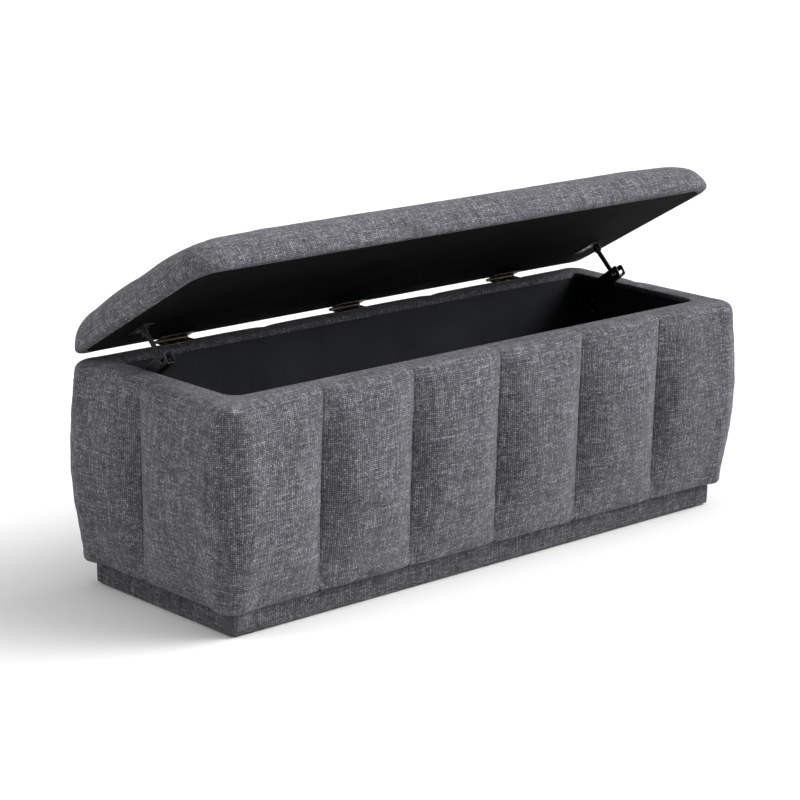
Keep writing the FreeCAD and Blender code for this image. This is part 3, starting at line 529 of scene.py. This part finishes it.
# how a pad leans, swells and turns in from its hem to the rail
FOOT_TUCK = 5.5 * MM
TOP_FLARE = 3.0 * MM
SWELL = 22 * MM
FOOT_ROUND = 8 * MM
# the hem hangs down over the plinth and lifts beside each channel seam
FOOT_HANG = 6.5 * MM
HEM = FOOT - FOOT_HANG
SEAM_LIFT = 6 * MM
LIFT_REACH = 14 * MM
# a channel's depth at its foot, what it gains towards the top and what it gains half way up
CHANNEL_DEPTHS = (5 * MM, 4 * MM, 22 * MM)
CHANNEL_REACH = 90 * MM
# a corner stands out at its ends, less so half way up, and its stitches lie in a groove
CORNER_STAND = 8.5 * MM
CORNER_EASE = 5.0 * MM
CORNER_REACH = 60 * MM
STITCH_DEPTH = 1.2 * MM
STITCH_REACH = 5 * MM
UNEVEN = 0.6 * MM
COLUMNS = 49
ROWS = 73
FOOT_ROWS = 5
# what lies behind the pads
UNDER_LAP = 8 * MM
WALL_EDGE = 3 * MM
PLINTH_CORNER = 3.5 * MM
RAIL_CORNER = 22 * MM
RAIL_ROUND = 12 * MM
CLEAR = 0.2 * MM
SHELF = FOOT + 0.3 * MM
# what Cloth does to the pads: grid, pressure, spare cloth, steps and the furthest move
PAD_GRID = (25, 41)
PAD_PRESSURE = 2.5
PAD_SPARE = 0.014
CLOTH_STEPS = 18
PAD_CAP = 1.8 * MM

ARC = CORNER * math.pi / 2
STRAIGHT_X = 2 * (BASE_X - CORNER)
STRAIGHT_Y = 2 * (BASE_Y - CORNER)
LAP = 2 * STRAIGHT_X + 2 * STRAIGHT_Y + 4 * ARC


class Pad:
    """One padded channel between two vertical seams, as stations along the outline in plan."""

    def __init__(self, name, stations, deep, patch):
        self.name = name
        self.first, self.last = stations
        self.deep = deep
        self.patch = patch
        self.drift = rng.uniform(-UNEVEN, UNEVEN)

    def seams(self, station):
        """How far a station is from each seam, and whether that seam is a deep channel."""
        return zip((station - self.first, self.last - station), self.deep)


def outline_point(station, half_x, half_y, corner):
    """Where a station of the base outline lies on a similar outline of another size.

    Stations are metres along the base outline, anticlockwise from the middle of the front left
    corner. Gives x, y and the outward direction.
    """
    station = station % LAP
    turn = 0
    length = STRAIGHT_X
    while station > ARC + length:
        station -= ARC + length
        turn += 1
        length = STRAIGHT_Y if turn % 2 else STRAIGHT_X
    before = min(station, ARC / 2) - ARC / 2
    after = max(station - ARC / 2 - length, 0.0)
    angle = (turn - 1 + (before + after) / ARC) * math.pi / 2
    share = min(max((station - ARC / 2) / length, 0.0), 1.0)
    share = straight_share(turn, share, half_x, half_y, corner)
    here = CORNER_SIGNS[turn]
    there = CORNER_SIGNS[(turn + 1) % 4]
    core = (half_x - corner, half_y - corner)
    centre = [core[axis] * (here[axis] * (1 - share) + there[axis] * share) for axis in (0, 1)]
    way = (math.cos(angle), math.sin(angle))
    return centre[0] + corner * way[0], centre[1] + corner * way[1], way[0], way[1]


def plan_point(station, half_x, half_y, corner):
    """Where a station of the base outline lies in plan on another outline."""
    return outline_point(station, half_x, half_y, corner)[:2]


def straight_share(turn, share, half_x, half_y, corner):
    """Keeps the seams of a straight stretch in line on outlines of other sizes."""
    base = (BASE_X if turn % 2 == 0 else BASE_Y) - CORNER
    here = (half_x if turn % 2 == 0 else half_y) - corner
    place = (2 * share - 1) * base
    if turn % 2 == 0:
        marks = [2 * PITCH * sign for sign in (-1, 1)]
    else:
        marks = [SIDE_SEAM if turn == 1 else -SIDE_SEAM] * 2
    if place < marks[0]:
        place = marks[0] + (place - marks[0]) * (marks[0] + here) / (marks[0] + base)
    elif place > marks[1]:
        place = marks[1] + (place - marks[1]) * (here - marks[1]) / (base - marks[1])
    return (place / here + 1) / 2


def lay_out_pads():
    """The sixteen pads in order round the box, starting with the front left one."""
    seams = [ARC / 2 + STRAIGHT_X / 2 + PITCH * step for step in range(-2, 3)]
    starts = []
    for half, side_seam in ((0.0, SIDE_SEAM), (LAP / 2, -SIDE_SEAM)):
        side_middle = ARC * 1.5 + STRAIGHT_X + STRAIGHT_Y / 2
        starts += [half + place for place in
                   (0.0, *seams, ARC + STRAIGHT_X, side_middle + side_seam)]
    starts.append(LAP)
    names = ["front_channel_%d" % number for number in range(1, 7)]
    names += ["right_channel_front", "right_channel_rear"]
    names += ["back_channel_%d" % number for number in range(6, 0, -1)]
    names += ["left_channel_rear", "left_channel_front"]
    corners_at = (0.0, ARC + STRAIGHT_X, LAP / 2, LAP / 2 + ARC + STRAIGHT_X, LAP)
    pads = []
    for number, name in enumerate(names):
        ends = (starts[number], starts[number + 1])
        deep = tuple(min(abs(end - mark) for mark in corners_at) > 1e-6 for end in ends)
        pads.append(Pad(name, ends, deep, number + 1))
    return pads


def seam_fall(distance, reach):
    """1 at a seam, 0 where the crown is full: steep beside the seam, then a long slope."""
    left = 1 - np.clip(distance / reach, 0, 1)
    return 0.4 * (1 - (1 - left ** 2) ** 0.5) + 0.6 * left ** 2.3


def share_up(height):
    """How far up the padded wall a height is."""
    return np.clip((height - HEM) / (RAIL_TOP - HEM), 0, 1)


def barrel(height):
    """How far the crown of a pad stands out from the base outline at a height."""
    share = share_up(height)
    rounding = FOOT_ROUND - np.clip(height - HEM, 0, FOOT_ROUND)
    turned_in = FOOT_ROUND - np.sqrt(FOOT_ROUND ** 2 - rounding ** 2)
    lean = -FOOT_TUCK + (FOOT_TUCK + TOP_FLARE) * share
    return lean + SWELL * np.sin(math.pi * share) ** (1.2 - 0.35 * share) - turned_in


def channel_fall(distance, height):
    """How far a pad falls away towards the seam of a channel."""
    share = share_up(height)
    foot, rise, middle = CHANNEL_DEPTHS
    depth = foot + rise * share + middle * np.sin(math.pi * share) ** 1.2
    return depth * seam_fall(distance, CHANNEL_REACH)


def corner_fall(distance, height):
    """How far a pad falls away at the sewn seam of a corner. It is negative, most of all at the
    foot and the band, where the wide corner draws out to a tight one."""
    depth = CORNER_EASE * np.sin(math.pi * share_up(height)) ** 0.8 - CORNER_STAND
    rounding = (1 - np.clip(distance / CORNER_REACH, 0, 1) ** 2) ** 2
    return depth * rounding + STITCH_DEPTH * seam_fall(distance, STITCH_REACH)


def offset(pad, station, height):
    """How far outside the base outline the cloth of a pad lies."""
    out = barrel(height)
    width = pad.last - pad.first
    for distance, deep in pad.seams(station):
        fall = channel_fall if deep else corner_fall
        out = out - fall(distance, height)
    swell = pad.drift * np.sin(math.pi * (station - pad.first) / width)
    return out + swell * np.sin(2 * math.pi * share_up(height) + pad.patch)


def pad_stations(pad, count):
    """Columns of a pad, closer together towards its seams."""
    even = np.linspace(-1, 1, count)
    eased = 0.62 * np.sin(even * math.pi / 2) + 0.38 * even
    return pad.first + (pad.last - pad.first) * (eased + 1) / 2


def pad_heights(count):
    """Rows of a pad from the foot to the band, closer together at both ends."""
    even = np.linspace(-1, 1, count)
    eased = 0.4 * np.sin(even * math.pi / 2) + 0.6 * even
    return FOOT + (BAND_EDGE - FOOT) * (eased + 1) / 2


def hung(pad, station, heights):
    """A column's heights with its hem let down over the plinth, lifted beside a channel seam."""
    hem = HEM
    for distance, deep in pad.seams(station):
        if deep:
            hem += SEAM_LIFT * max(0.0, 1 - distance / LIFT_REACH) ** 2
    return BAND_EDGE - (BAND_EDGE - heights) * (BAND_EDGE - hem) / (BAND_EDGE - FOOT)


def pad_surface(pad, stations, heights):
    """Points of a pad's outside, row by row."""
    points = np.zeros((len(heights), len(stations), 3))
    for column, station in enumerate(stations):
        x, y, way_x, way_y = outline_point(station, BASE_X, BASE_Y, CORNER)
        levels = hung(pad, station, heights)
        out = offset(pad, station, levels)
        points[:, column, 0] = x + way_x * out
        points[:, column, 1] = y + way_y * out
        points[:, column, 2] = levels
    return points


def relax_pads(pads):
    """Stuffs all pads at once with Cloth and gives each one's displacement on a coarse grid."""
    columns, rows = PAD_GRID
    points, faces, pinned = [], [], []
    heights = pad_heights(rows)
    for pad in pads:
        surface = pad_surface(pad, pad_stations(pad, columns), heights)
        faces += grid_faces(rows, columns, start=len(points) * rows * columns)
        edge = np.ones((rows, columns), bool)
        edge[1:-1, 1:-1] = False
        points.append(surface.reshape(-1, 3))
        pinned.append(edge.ravel())
    flat_points = np.concatenate(points)
    rested = inflate(flat_points, faces, np.concatenate(pinned), PAD_PRESSURE, PAD_SPARE)
    shifts = (rested - flat_points).reshape(len(pads), rows, columns, 3)
    return capped(shifts, PAD_CAP)


def cloth_place(loop, guide_row, seam_row, patch):
    """Each point's place on the flat cloth: along one guiding row, and up from the band seam."""
    place = np.zeros_like(loop)
    steps = np.linalg.norm(np.diff(loop, axis=0), axis=2)
    place[..., 0] = run_along(loop[guide_row])[None, :]
    place[1:, :, 1] = np.cumsum(steps, axis=0)
    place[..., 1] -= place[seam_row, :, 1].copy()[None, :]
    place[..., 2] = patch
    return place


def pad_underside(hem, stations):
    """Rows from behind the foot, out over the plinth and round down to the hem."""
    lap = [plan_point(station, WALL_X + UNDER_LAP, WALL_Y + UNDER_LAP, UNDER_LAP)
           for station in stations]
    brink = np.array([(*plan_point(station, plinth_high[0] + MM, plinth_high[1] + MM,
                                   PLINTH_CORNER), SHELF) for station in stations])
    rows = [np.column_stack([lap, np.full(COLUMNS, SHELF)])]
    for share in np.linspace(0, 1, FOOT_ROWS)[:-1]:
        row = brink + (hem - brink) * share
        row[:, 2] = hem[:, 2] + (SHELF - hem[:, 2]) * (1 - math.sqrt(1 - (1 - share) ** 2))
        rows.append(row)
    return rows


def pad_back(stations):
    """Rows down the boards behind a pad: the rail's face, under the rail, and the wall."""
    rows = []
    for half_x, half_y, corner, height in (
            (RAIL_X, RAIL_Y, RAIL_CORNER, BAND_EDGE), (RAIL_X, RAIL_Y, RAIL_CORNER, RAIL_UNDER),
            (WALL_X, WALL_Y, WALL_EDGE, RAIL_UNDER), (WALL_X, WALL_Y, WALL_EDGE, SHELF)):
        rows.append(np.array([(*plan_point(station, half_x + CLEAR, half_y + CLEAR, corner),
                               height - CLEAR) for station in stations]))
    return rows


def build_pads(pads, material):
    """One closed padded piece for each channel."""
    heights = pad_heights(ROWS)
    shifts = None
    shifts = relax_pads(pads)
    up = cubic_weights(pad_heights(PAD_GRID[1]), heights)
    for number, pad in enumerate(pads):
        stations = pad_stations(pad, COLUMNS)
        surface = pad_surface(pad, stations, heights)
        if shifts is not None:
            side = cubic_weights(pad_stations(pad, PAD_GRID[0]), stations)
            surface += np.einsum("ri,cj,ijk->rck", up, side, shifts[number])
        below = pad_underside(surface[0], stations)
        loop = np.array(below + list(surface) + pad_back(stations))
        count = len(loop)
        faces = grid_faces(count, COLUMNS, close_rows=True)
        faces.append(tuple(row * COLUMNS for row in range(count)))
        faces.append(tuple(row * COLUMNS + COLUMNS - 1 for row in range(count))[::-1])
        cloth = cloth_place(loop, len(below) + ROWS // 2, len(below) + ROWS - 1, pad.patch)
        made = make_object(pad.name + "_pad", loop.reshape(-1, 3), faces,
                           cloth.reshape(-1, 3), material)
        fit(made, "box", pad.name, SOFT_FOLD)


# ---------- the rim band

# the opening's corners are tight at the back and wider at the front
BACK_CORNER = 8 * MM
FRONT_CORNER = 24 * MM
# the band rolls over at the opening and turns in over the lining
ROLL = 4 * MM
ROLL_PROUD = 0.6 * MM
DROP = 9 * MM
DENT_REACH = 34 * MM
BAND_CROWN = 0.9 * MM


def opening_corner(along):
    """The opening's corner radius at a place from back to front."""
    share = min(max((OPENING_Y - along) / (2 * OPENING_Y), 0.0), 1.0)
    return BACK_CORNER + (FRONT_CORNER - BACK_CORNER) * share ** 2


def rim_section(pad, station):
    """The band's closed section at a station, from its outer edge over the top to the inside."""
    x, y, way_x, way_y = outline_point(station, BASE_X, BASE_Y, CORNER)
    out = float(offset(pad, station, np.array([BAND_EDGE]))[0])
    edge = np.array((x, y)) + np.array((way_x, way_y)) * out
    flat_start = np.array(plan_point(station, BASE_X - SHOULDER_RUN, BASE_Y - SHOULDER_RUN,
                                     TOP_CORNER))
    inner_x, inner_y, in_x, in_y = outline_point(station, OPENING_X, OPENING_Y,
                                                 opening_corner(y))
    inward = np.array((in_x, in_y))
    inside_start = np.array((inner_x, inner_y)) + inward * ROLL
    dent = 0.0
    for distance, deep in pad.seams(station):
        dent += float(seam_fall(distance, DENT_REACH)) * (2.0 if deep else 0.6) * MM
    rows = []
    for sine, cosine in quarter(11):
        plan = flat_start + (edge - flat_start) * cosine
        rows.append((*plan, BAND_EDGE + (SHOULDER_RISE - dent) * sine))
    for share in np.linspace(0, 1, 9)[1:]:
        plan = flat_start + (inside_start - flat_start) * share
        crown = BAND_CROWN * math.sin(math.pi * share)
        rows.append((*plan, RIM_TOP + crown - dent * (1 - share) ** 2))
    for sine, cosine in quarter(7, 1):
        plan = inside_start - inward * (ROLL + ROLL_PROUD) * sine
        rows.append((*plan, RIM_TOP - ROLL * (1 - cosine)))
    face = rows[-1][:2]
    for out_by, down in ((0.0, 0.7 * DROP), (-0.9 * MM, 0.88 * DROP), (-0.5 * MM, DROP),
                         (1.4 * MM, DROP), (1.4 * MM, RIM_TOP - RAIL_TOP - CLEAR)):
        rows.append((*(face + inward * out_by), RIM_TOP - down))
    # under the band the section follows the rounded rail
    for sine, cosine in quarter(5)[::-1]:
        inset = RAIL_ROUND * (1 - cosine) - CLEAR
        behind = plan_point(station, RAIL_X - inset, RAIL_Y - inset, RAIL_CORNER - inset)
        rows.append((*behind, RAIL_TOP - RAIL_ROUND * (1 - sine) + CLEAR))
    rows.append((*plan_point(station, RAIL_X + CLEAR, RAIL_Y + CLEAR, RAIL_CORNER), BAND_EDGE))
    return rows


def build_rim(pads, material):
    """The padded band over the top edge, scalloped to the pads outside, rolled over inside."""
    stations = np.concatenate([pad_stations(pad, COLUMNS)[:-1] for pad in pads])
    owners = [pad for pad in pads for _ in range(COLUMNS - 1)]
    sections = [rim_section(pad, station) for pad, station in zip(owners, stations)]
    loop = np.array(sections).transpose(1, 0, 2)
    faces = grid_faces(*loop.shape[:2], close_rows=True, close_columns=True)
    patches = np.array([pad.patch for pad in owners])
    cloth = cloth_place(loop, 0, 0, patches[None, :])
    made = make_object("rim_band", loop.reshape(-1, 3), faces, cloth.reshape(-1, 3), material)
    fit(made, "box", "rim_cover", SOFT_FOLD)


# ---------- cloth sheets on the box

PER_CORNER = 8
LOOP_SPACING = 20 * MM
LEAST_CORNER = 1 * MM
# which patch of cloth each sheet is cut from
PLINTH_PATCH = 30
LINING_PATCH = 40
BASE_PATCH = 60
LID_UNDER_PATCH = 61
TURN = 6 * MM
SHEET_POINTS = 260


def rounded_loop(half_x, half_y, corner, centre=(0.0, 0.0), front_corner=None):
    """Points round a rounded rectangle, anticlockwise from the front left corner."""
    arcs = []
    for turn, (sign_x, sign_y) in enumerate(CORNER_SIGNS):
        radius = front_corner if front_corner and sign_y < 0 else corner
        angles = math.pi * (1 + turn / 2) + np.linspace(0, math.pi / 2, PER_CORNER + 1)
        arcs.append(np.column_stack([
            centre[0] + sign_x * (half_x - radius) + radius * np.cos(angles),
            centre[1] + sign_y * (half_y - radius) + radius * np.sin(angles)]))
    points = []
    for turn, arc in enumerate(arcs):
        first, last = arc[-1], arcs[(turn + 1) % 4][0]
        pieces = max(2, int(2 * (half_y if turn % 2 else half_x) / LOOP_SPACING))
        points += [arc, first + (last - first) * np.arange(1, pieces)[:, None] / pieces]
    return np.concatenate(points)


def level_loop(outline, height):
    """A plan outline at a height."""
    return np.column_stack([outline, np.full(len(outline), height)])


def filled_loops(name, loops, cloth, material, flip=False):
    """A closed surface through loops of equal count, filled at its first and last loop."""
    count, around = loops.shape[:2]
    faces = grid_faces(count, around, close_columns=True, flip=flip)
    for loop in (tuple(range((count - 1) * around, count * around)), tuple(range(around))[::-1]):
        faces.append(loop[::-1] if flip else loop)
    return make_object(name, loops.reshape(-1, 3), faces, cloth.reshape(-1, 3), material)


def build_plinth_cover(material):
    """The cloth wrapped round the plinth boards, turned under at the bottom."""
    half_x, half_y = plinth_high[0], plinth_high[1]
    low, high = plinth_low[2], plinth_high[2]
    edge = 2 * MM
    turned_in = 1.3 * MM
    profile = [(turned_in, low + CLEAR), (0.5 * MM, low), (0.1 * MM, low + 0.6 * MM),
               (0.0, low + edge)]
    for share in np.linspace(0, 1, 8)[1:]:
        profile.append((-0.5 * MM * math.sin(math.pi * share),
                        low + edge + (high - low - edge - CLEAR) * share))
    profile += [(turned_in, high - CLEAR), (turned_in, (low + high) / 2)]
    loops = np.array([level_loop(rounded_loop(half_x - inset, half_y - inset, PLINTH_CORNER),
                                 height) for inset, height in profile])
    faces = grid_faces(*loops.shape[:2], close_rows=True, close_columns=True)
    cloth = np.zeros_like(loops)
    cloth[..., 0] = run_along(loops[3])[None, :]
    cloth[..., 1] = loops[..., 2]
    cloth[..., 2] = PLINTH_PATCH
    made = make_object("plinth_wrap", loops.reshape(-1, 3), faces, cloth.reshape(-1, 3), material)
    fit(made, "box", "plinth_cover")


def build_lining(material):
    """The black lining of the inside: four walls and the floor, one open tub."""
    top = RIM_TOP - 8 * MM
    floor = lining_low[2] + LINING_THICKNESS
    behind = -0.7 * MM
    profile = [(behind, floor + behind), (behind, top)]
    profile += [(0.0, height) for height in np.linspace(top, floor + TURN, 14)]
    profile += [(TURN * (1 - cosine), floor + TURN * (1 - sine)) for sine, cosine in quarter(5, 1)]
    profile += [(inset, floor) for inset in (20 * MM, 60 * MM, 110 * MM)]
    around = len(rounded_loop(OPENING_X, OPENING_Y, BACK_CORNER, front_corner=FRONT_CORNER))
    loops = []
    for inset, height in profile:
        outline = rounded_loop(OPENING_X - inset, OPENING_Y - inset,
                               max(BACK_CORNER - inset, LEAST_CORNER),
                               front_corner=max(FRONT_CORNER - inset, LEAST_CORNER))
        if len(outline) != around:
            outline = resample(outline, around)
        loops.append(level_loop(outline, height))
    loops = np.array(loops)
    cloth = cloth_place(loops, 0, 0, LINING_PATCH)
    made = filled_loops("lining_tub", loops, cloth, material, flip=True)
    fit(made, "box", "box_lining")
    height = top - floor


def resample(points, count):
    """The same closed loop with another number of points, keeping its first one."""
    closed = np.vstack([points, points[:1]])
    runs = run_along(closed)
    places = np.linspace(0, runs[-1], count, endpoint=False)
    return np.column_stack([np.interp(places, runs, closed[:, axis]) for axis in range(2)])


def flat_cloth(name, low, high, corner, material, patch):
    """A thin cloth sheet stapled flat under something."""
    centre = (low[:2] + high[:2]) / 2
    half = (high[:2] - low[:2]) / 2
    insets = [inset * MM for inset in (0, 0, 4, 12, 30, 60, 100, 140)
              if inset * MM < half[1] - 20 * MM]
    loops = []
    for level, chosen in ((low[2], insets[::-1]), (high[2], insets)):
        for inset in chosen:
            outline = rounded_loop(half[0] - inset, half[1] - inset, max(corner - inset, 2 * MM),
                                   centre=centre)
            loops.append(level_loop(resample(outline, SHEET_POINTS), level))
    loops = np.array(loops)
    cloth = loops.copy()
    cloth[..., 2] = patch
    return filled_loops(name, loops, cloth, material)


# ---------- the lid cushion

# the section outward from the flat top: a shoulder, a short side and a rounded lower edge
LID_REACH = 62 * MM
LID_SHOULDER = 50 * MM
LID_HEIGHT = 64.5 * MM
LID_LOWER = 8 * MM
LID_SIDE_SWELL = 1.5 * MM
SIDE_FULLNESS = 0.92
END_FULLNESS = 0.76
FRONT_SQUARE = 0.7
REAR_SQUARE = 4.0
LID_DOME = 4 * MM
CROWN_DROP = 19 * MM
CROWN_REACH = 120 * MM
FRONT_HANG = 3 * MM
END_HANG = 1.5 * MM
LID_STEP = 8.5 * MM
LID_RINGS = 13
LID_PATCH = 50.0
LID_CLOTH_CORNER = 40 * MM
LID_BOARD_CORNER = 30 * MM
BOARD_GAP = 0.1 * MM
BOARD_PLAY = 0.3 * MM
# what Cloth does to the lid
LID_PINNED = 9 * MM
LID_PRESSURE = 2.0
LID_SPARE = 0.005
LID_CAP = 2 * MM


def lid_profile(fullness):
    """The section outward from the flat top at even steps of run: run, reach and drop."""
    side = LID_HEIGHT - LID_SHOULDER - LID_LOWER
    points = [(LID_REACH * sine ** fullness, LID_SHOULDER * (1 - cosine ** fullness))
              for sine, cosine in quarter(40)]
    for share in np.linspace(0, 1, 16)[1:]:
        points.append((LID_REACH + LID_SIDE_SWELL * math.sin(math.pi * share),
                       LID_SHOULDER + side * share))
    points += [(LID_REACH - LID_LOWER * (1 - cosine), LID_HEIGHT - LID_LOWER * (1 - sine))
               for sine, cosine in quarter(12, 1)]
    points = np.array(points)
    runs = run_along(points)
    places = np.linspace(0, runs[-1], LID_RINGS + 1)
    return places, np.interp(places, runs, points[:, 0]), np.interp(places, runs, points[:, 1])


def lid_grid(low, high):
    """The cushion's cloth as a rectangular net pulled over the core, in the shut pose."""
    centre = (low + high) / 2
    half = (high - low)[:2] / 2
    core = half - LID_REACH
    runs, reach, drop = lid_profile(SIDE_FULLNESS)
    end_runs, end_reach, end_drop = lid_profile(END_FULLNESS)
    lines = []
    for size in core:
        pieces = int(round(2 * size / LID_STEP))
        lines.append(np.concatenate([-size - runs[:0:-1], np.linspace(-size, size, pieces + 1),
                                     size + runs[1:]]))
    flat = np.stack(np.meshgrid(*lines), axis=-1)
    inside = np.clip(flat, -core, core)
    spare = flat - inside
    ring = np.abs(spare).max(axis=-1)
    # the corners are squarer low down than on the crown, most of all beside the hinges
    power = 2.0 + np.where(spare[..., 1] > 0, REAR_SQUARE, FRONT_SQUARE) * ring / runs[-1]
    length = (np.abs(spare) ** power[..., None]).sum(axis=-1) ** (1 / power)
    way = spare / np.maximum(length, 1e-9)[..., None]
    endwise = np.clip(way[..., 0] ** 2, 0, 1)
    end_ring = ring * end_runs[-1] / runs[-1]
    out = (np.interp(ring, runs, reach) * (1 - endwise)
           + np.interp(end_ring, end_runs, end_reach) * endwise)
    down = (np.interp(ring, runs, drop) * (1 - endwise)
            + np.interp(end_ring, end_runs, end_drop) * endwise)
    hang = FRONT_HANG * np.clip(-way[..., 1], 0, 1) ** 2 + END_HANG * way[..., 0] ** 2
    plan = inside + way * out[..., None]
    dome = (1 - np.abs(plan[..., 0] / half[0]) ** 4) * (1 - (plan[..., 1] / half[1]) ** 2)
    # the crown falls away smoothly towards each corner
    near = (np.abs(plan) - core + CROWN_REACH) / (CROWN_REACH + LID_REACH)
    near = np.clip(near, 0, 1) ** 2
    height = (low[2] + LID_HEIGHT - down * (1 + hang / LID_HEIGHT) + LID_DOME * np.clip(dome, 0, 1)
              - CROWN_DROP * near[..., 0] * near[..., 1] * (1 - ring / runs[-1]))
    points = np.concatenate([plan + centre[:2], height[..., None]], axis=-1)
    cloth = np.concatenate([flat, np.full_like(height, LID_PATCH)[..., None]], axis=-1)
    return points, cloth


def build_lid(material):
    """The crowned lid cushion: cloth pulled over foam and wrapped under the board."""
    low, high = shut_corners("lid_cushion")
    points, cloth = lid_grid(low, high)
    faces = grid_faces(*points.shape[:2])
    points = points.reshape(-1, 3)
    pinned = points[:, 2] < low[2] + LID_PINNED
    rested = inflate(points, faces, pinned, LID_PRESSURE, LID_SPARE)
    points = points + capped(rested - points, LID_CAP)
    made = make_object("lid_cushion_pad", points, faces, cloth.reshape(-1, 3), material)
    modifier = made.modifiers.new("smooth", "SUBSURF")
    modifier.levels = 1
    modifier.render_levels = 1
    modifier.boundary_smooth = "PRESERVE_CORNERS"
    smooth = bpy.data.meshes.new_from_object(
        made.evaluated_get(bpy.context.evaluated_depsgraph_get()))
    made.modifiers.clear()
    made.data = smooth
    close_lid(made, low, high)
    made.data.transform(OPEN)
    made.data.polygons.foreach_set("use_smooth", [True] * len(made.data.polygons))
    fit(made, "lid", "lid_cushion", SOFT_FOLD)


def lid_cloth_corners():
    """The dust cloth under the lid, kept inside the rounded lower edge of the cushion."""
    low, high = shut_corners("lid_dust_cloth")
    edge = shut_corners("lid_cushion")[1][1] - LID_LOWER - MM
    return low, np.array((high[0], min(high[1], edge), high[2]))


def close_lid(made, low, high):
    """Adds the flap turned under the board and the recess that the board sits in."""
    cloth_low, cloth_high = lid_cloth_corners()
    board_low, board_high = shut_corners("lid_board")
    under_board = board_low[2] - BOARD_GAP
    steps = ((cloth_low, cloth_high, low[2] + BOARD_GAP, LID_CLOTH_CORNER),
             (cloth_low, cloth_high, under_board, LID_CLOTH_CORNER),
             (board_low, board_high, under_board, LID_BOARD_CORNER),
             (board_low, board_high, board_high[2] + CLEAR, LID_BOARD_CORNER))
    net = bmesh.new()
    net.from_mesh(made.data)
    cloth = net.verts.layers.float_vector["cloth"]
    edges = [edge for edge in net.edges if edge.is_boundary]
    before = ((low + high)[:2] / 2, (high - low)[:2] / 2 - LID_LOWER, LID_REACH - LID_LOWER)
    for corner_low, corner_high, level, corner in steps:
        grown = bmesh.ops.extrude_edge_only(net, edges=edges)["geom"]
        edges = [item for item in grown if isinstance(item, bmesh.types.BMEdge)
                 and item.is_boundary]
        after = ((corner_low + corner_high)[:2] / 2,
                 (corner_high - corner_low)[:2] / 2 + BOARD_PLAY, corner)
        for vert in [item for item in grown if isinstance(item, bmesh.types.BMVert)]:
            place, way = between_outlines(np.array(vert.co[:2]), before, after)
            place = Vector((*place, level))
            vert[cloth] = vert[cloth] + Vector((*way, 0)) * (place - vert.co).length
            vert.co = place
        before = after
    bmesh.ops.holes_fill(net, edges=edges, sides=0)
    bmesh.ops.recalc_face_normals(net, faces=net.faces)
    net.to_mesh(made.data)
    net.free()


def between_outlines(point, before, after):
    """Moves a point from one rounded rectangle to another. Gives its place and its way out."""
    middle, half, corner = before
    core = half - corner
    inside = np.clip(point - middle, -core, core)
    spare = point - middle - inside
    length = np.linalg.norm(spare)
    way = spare / length if length > 1e-9 else np.zeros(2)
    new_middle, new_half, new_corner = after
    return new_middle + inside / core * (new_half - new_corner) + way * new_corner, way


# ---------- the whole bench

def paint(ending, material, beginning=""):
    """Gives the CAD nodes whose names begin and end so a finished material."""
    for name, node in frame["nodes"].items():
        if name.startswith(beginning) and name.endswith(ending):
            node.data.materials.clear()
            node.data.materials.append(material)


def paint_hardware():
    """Materials for the wood, the hinges, the stays, the screws and the glides."""
    bronze = metal("antique_bronze", (0.030, 0.024, 0.018), (0.55, 0.45, 0.31), 0.40, 240, 0.8)
    black = metal("black_steel", (0.006, 0.006, 0.007), (0.55, 0.53, 0.50), 0.48, 300, 0.6, 0.6)
    zinc = metal("zinc_screws", (0.38, 0.38, 0.37), (0.75, 0.74, 0.7), 0.35, 500, 0.5)
    plywood = board("plywood", (0.62, 0.47, 0.31), (0.42, 0.29, 0.17), 3.0)
    pine = board("pine", (0.68, 0.5, 0.3), (0.5, 0.33, 0.17), 2.0)
    nylon = moulded_plastic("nylon_glides", (0.018, 0.018, 0.02))
    paint("_leaf", bronze, "hinge_")
    paint("hinge_pins", bronze)
    paint("", black, "stay_")
    paint("_screws", zinc)
    paint("_panel", plywood)
    paint("lid_board", plywood)
    paint("_rail", pine)
    paint("_board", pine, "plinth_")
    paint("floor_glides", nylon)


def build_bench():
    """Every soft piece, then the materials of what CAD made."""
    grey = woven_cloth("grey_weave", (0.030, 0.029, 0.035), (0.095, 0.094, 0.106),
                       (0.265, 0.264, 0.288))
    # painted shade: the plinth's weave is a darker copy of the grey weave, standing for the shadow
    # under the overhanging pads
    plinth_grey_shaded = woven_cloth("plinth_weave_painted_shade", (0.019, 0.018, 0.022), (0.066, 0.065, 0.073),
                              (0.19, 0.188, 0.204))
    lining = thin_cloth("black_lining", (0.016, 0.0172, 0.0218), (0.028, 0.030, 0.037), 2.4, 0.2)
    # black cloth made darker still as painted shade: its tones are far below the lining's,
    # standing for the shade beneath the bench and under the lid
    dust = thin_cloth("black_dust_cloth_painted_shade", (0.0052, 0.0052, 0.0054), (0.0102, 0.0102, 0.0108),
                      1.9, 0.02)
    pads = lay_out_pads()
    build_pads(pads, grey)
    build_rim(pads, grey)
    build_plinth_cover(plinth_grey_shaded)
    build_lining(lining)
    under = flat_cloth("base_cloth", dust_low, dust_high, 6 * MM, dust, BASE_PATCH)
    fit(under, "box", "base_dust_cloth")
    build_lid(grey)
    cloth_low, cloth_high = lid_cloth_corners()
    lid_cloth = flat_cloth("lid_underside_cloth", cloth_low, cloth_high, LID_CLOTH_CORNER, dust,
                           LID_UNDER_PATCH)
    lid_cloth.data.transform(OPEN)
    fit(lid_cloth, "lid", "lid_dust_cloth")
    paint_hardware()


aim_camera()
light_studio()
build_bench()
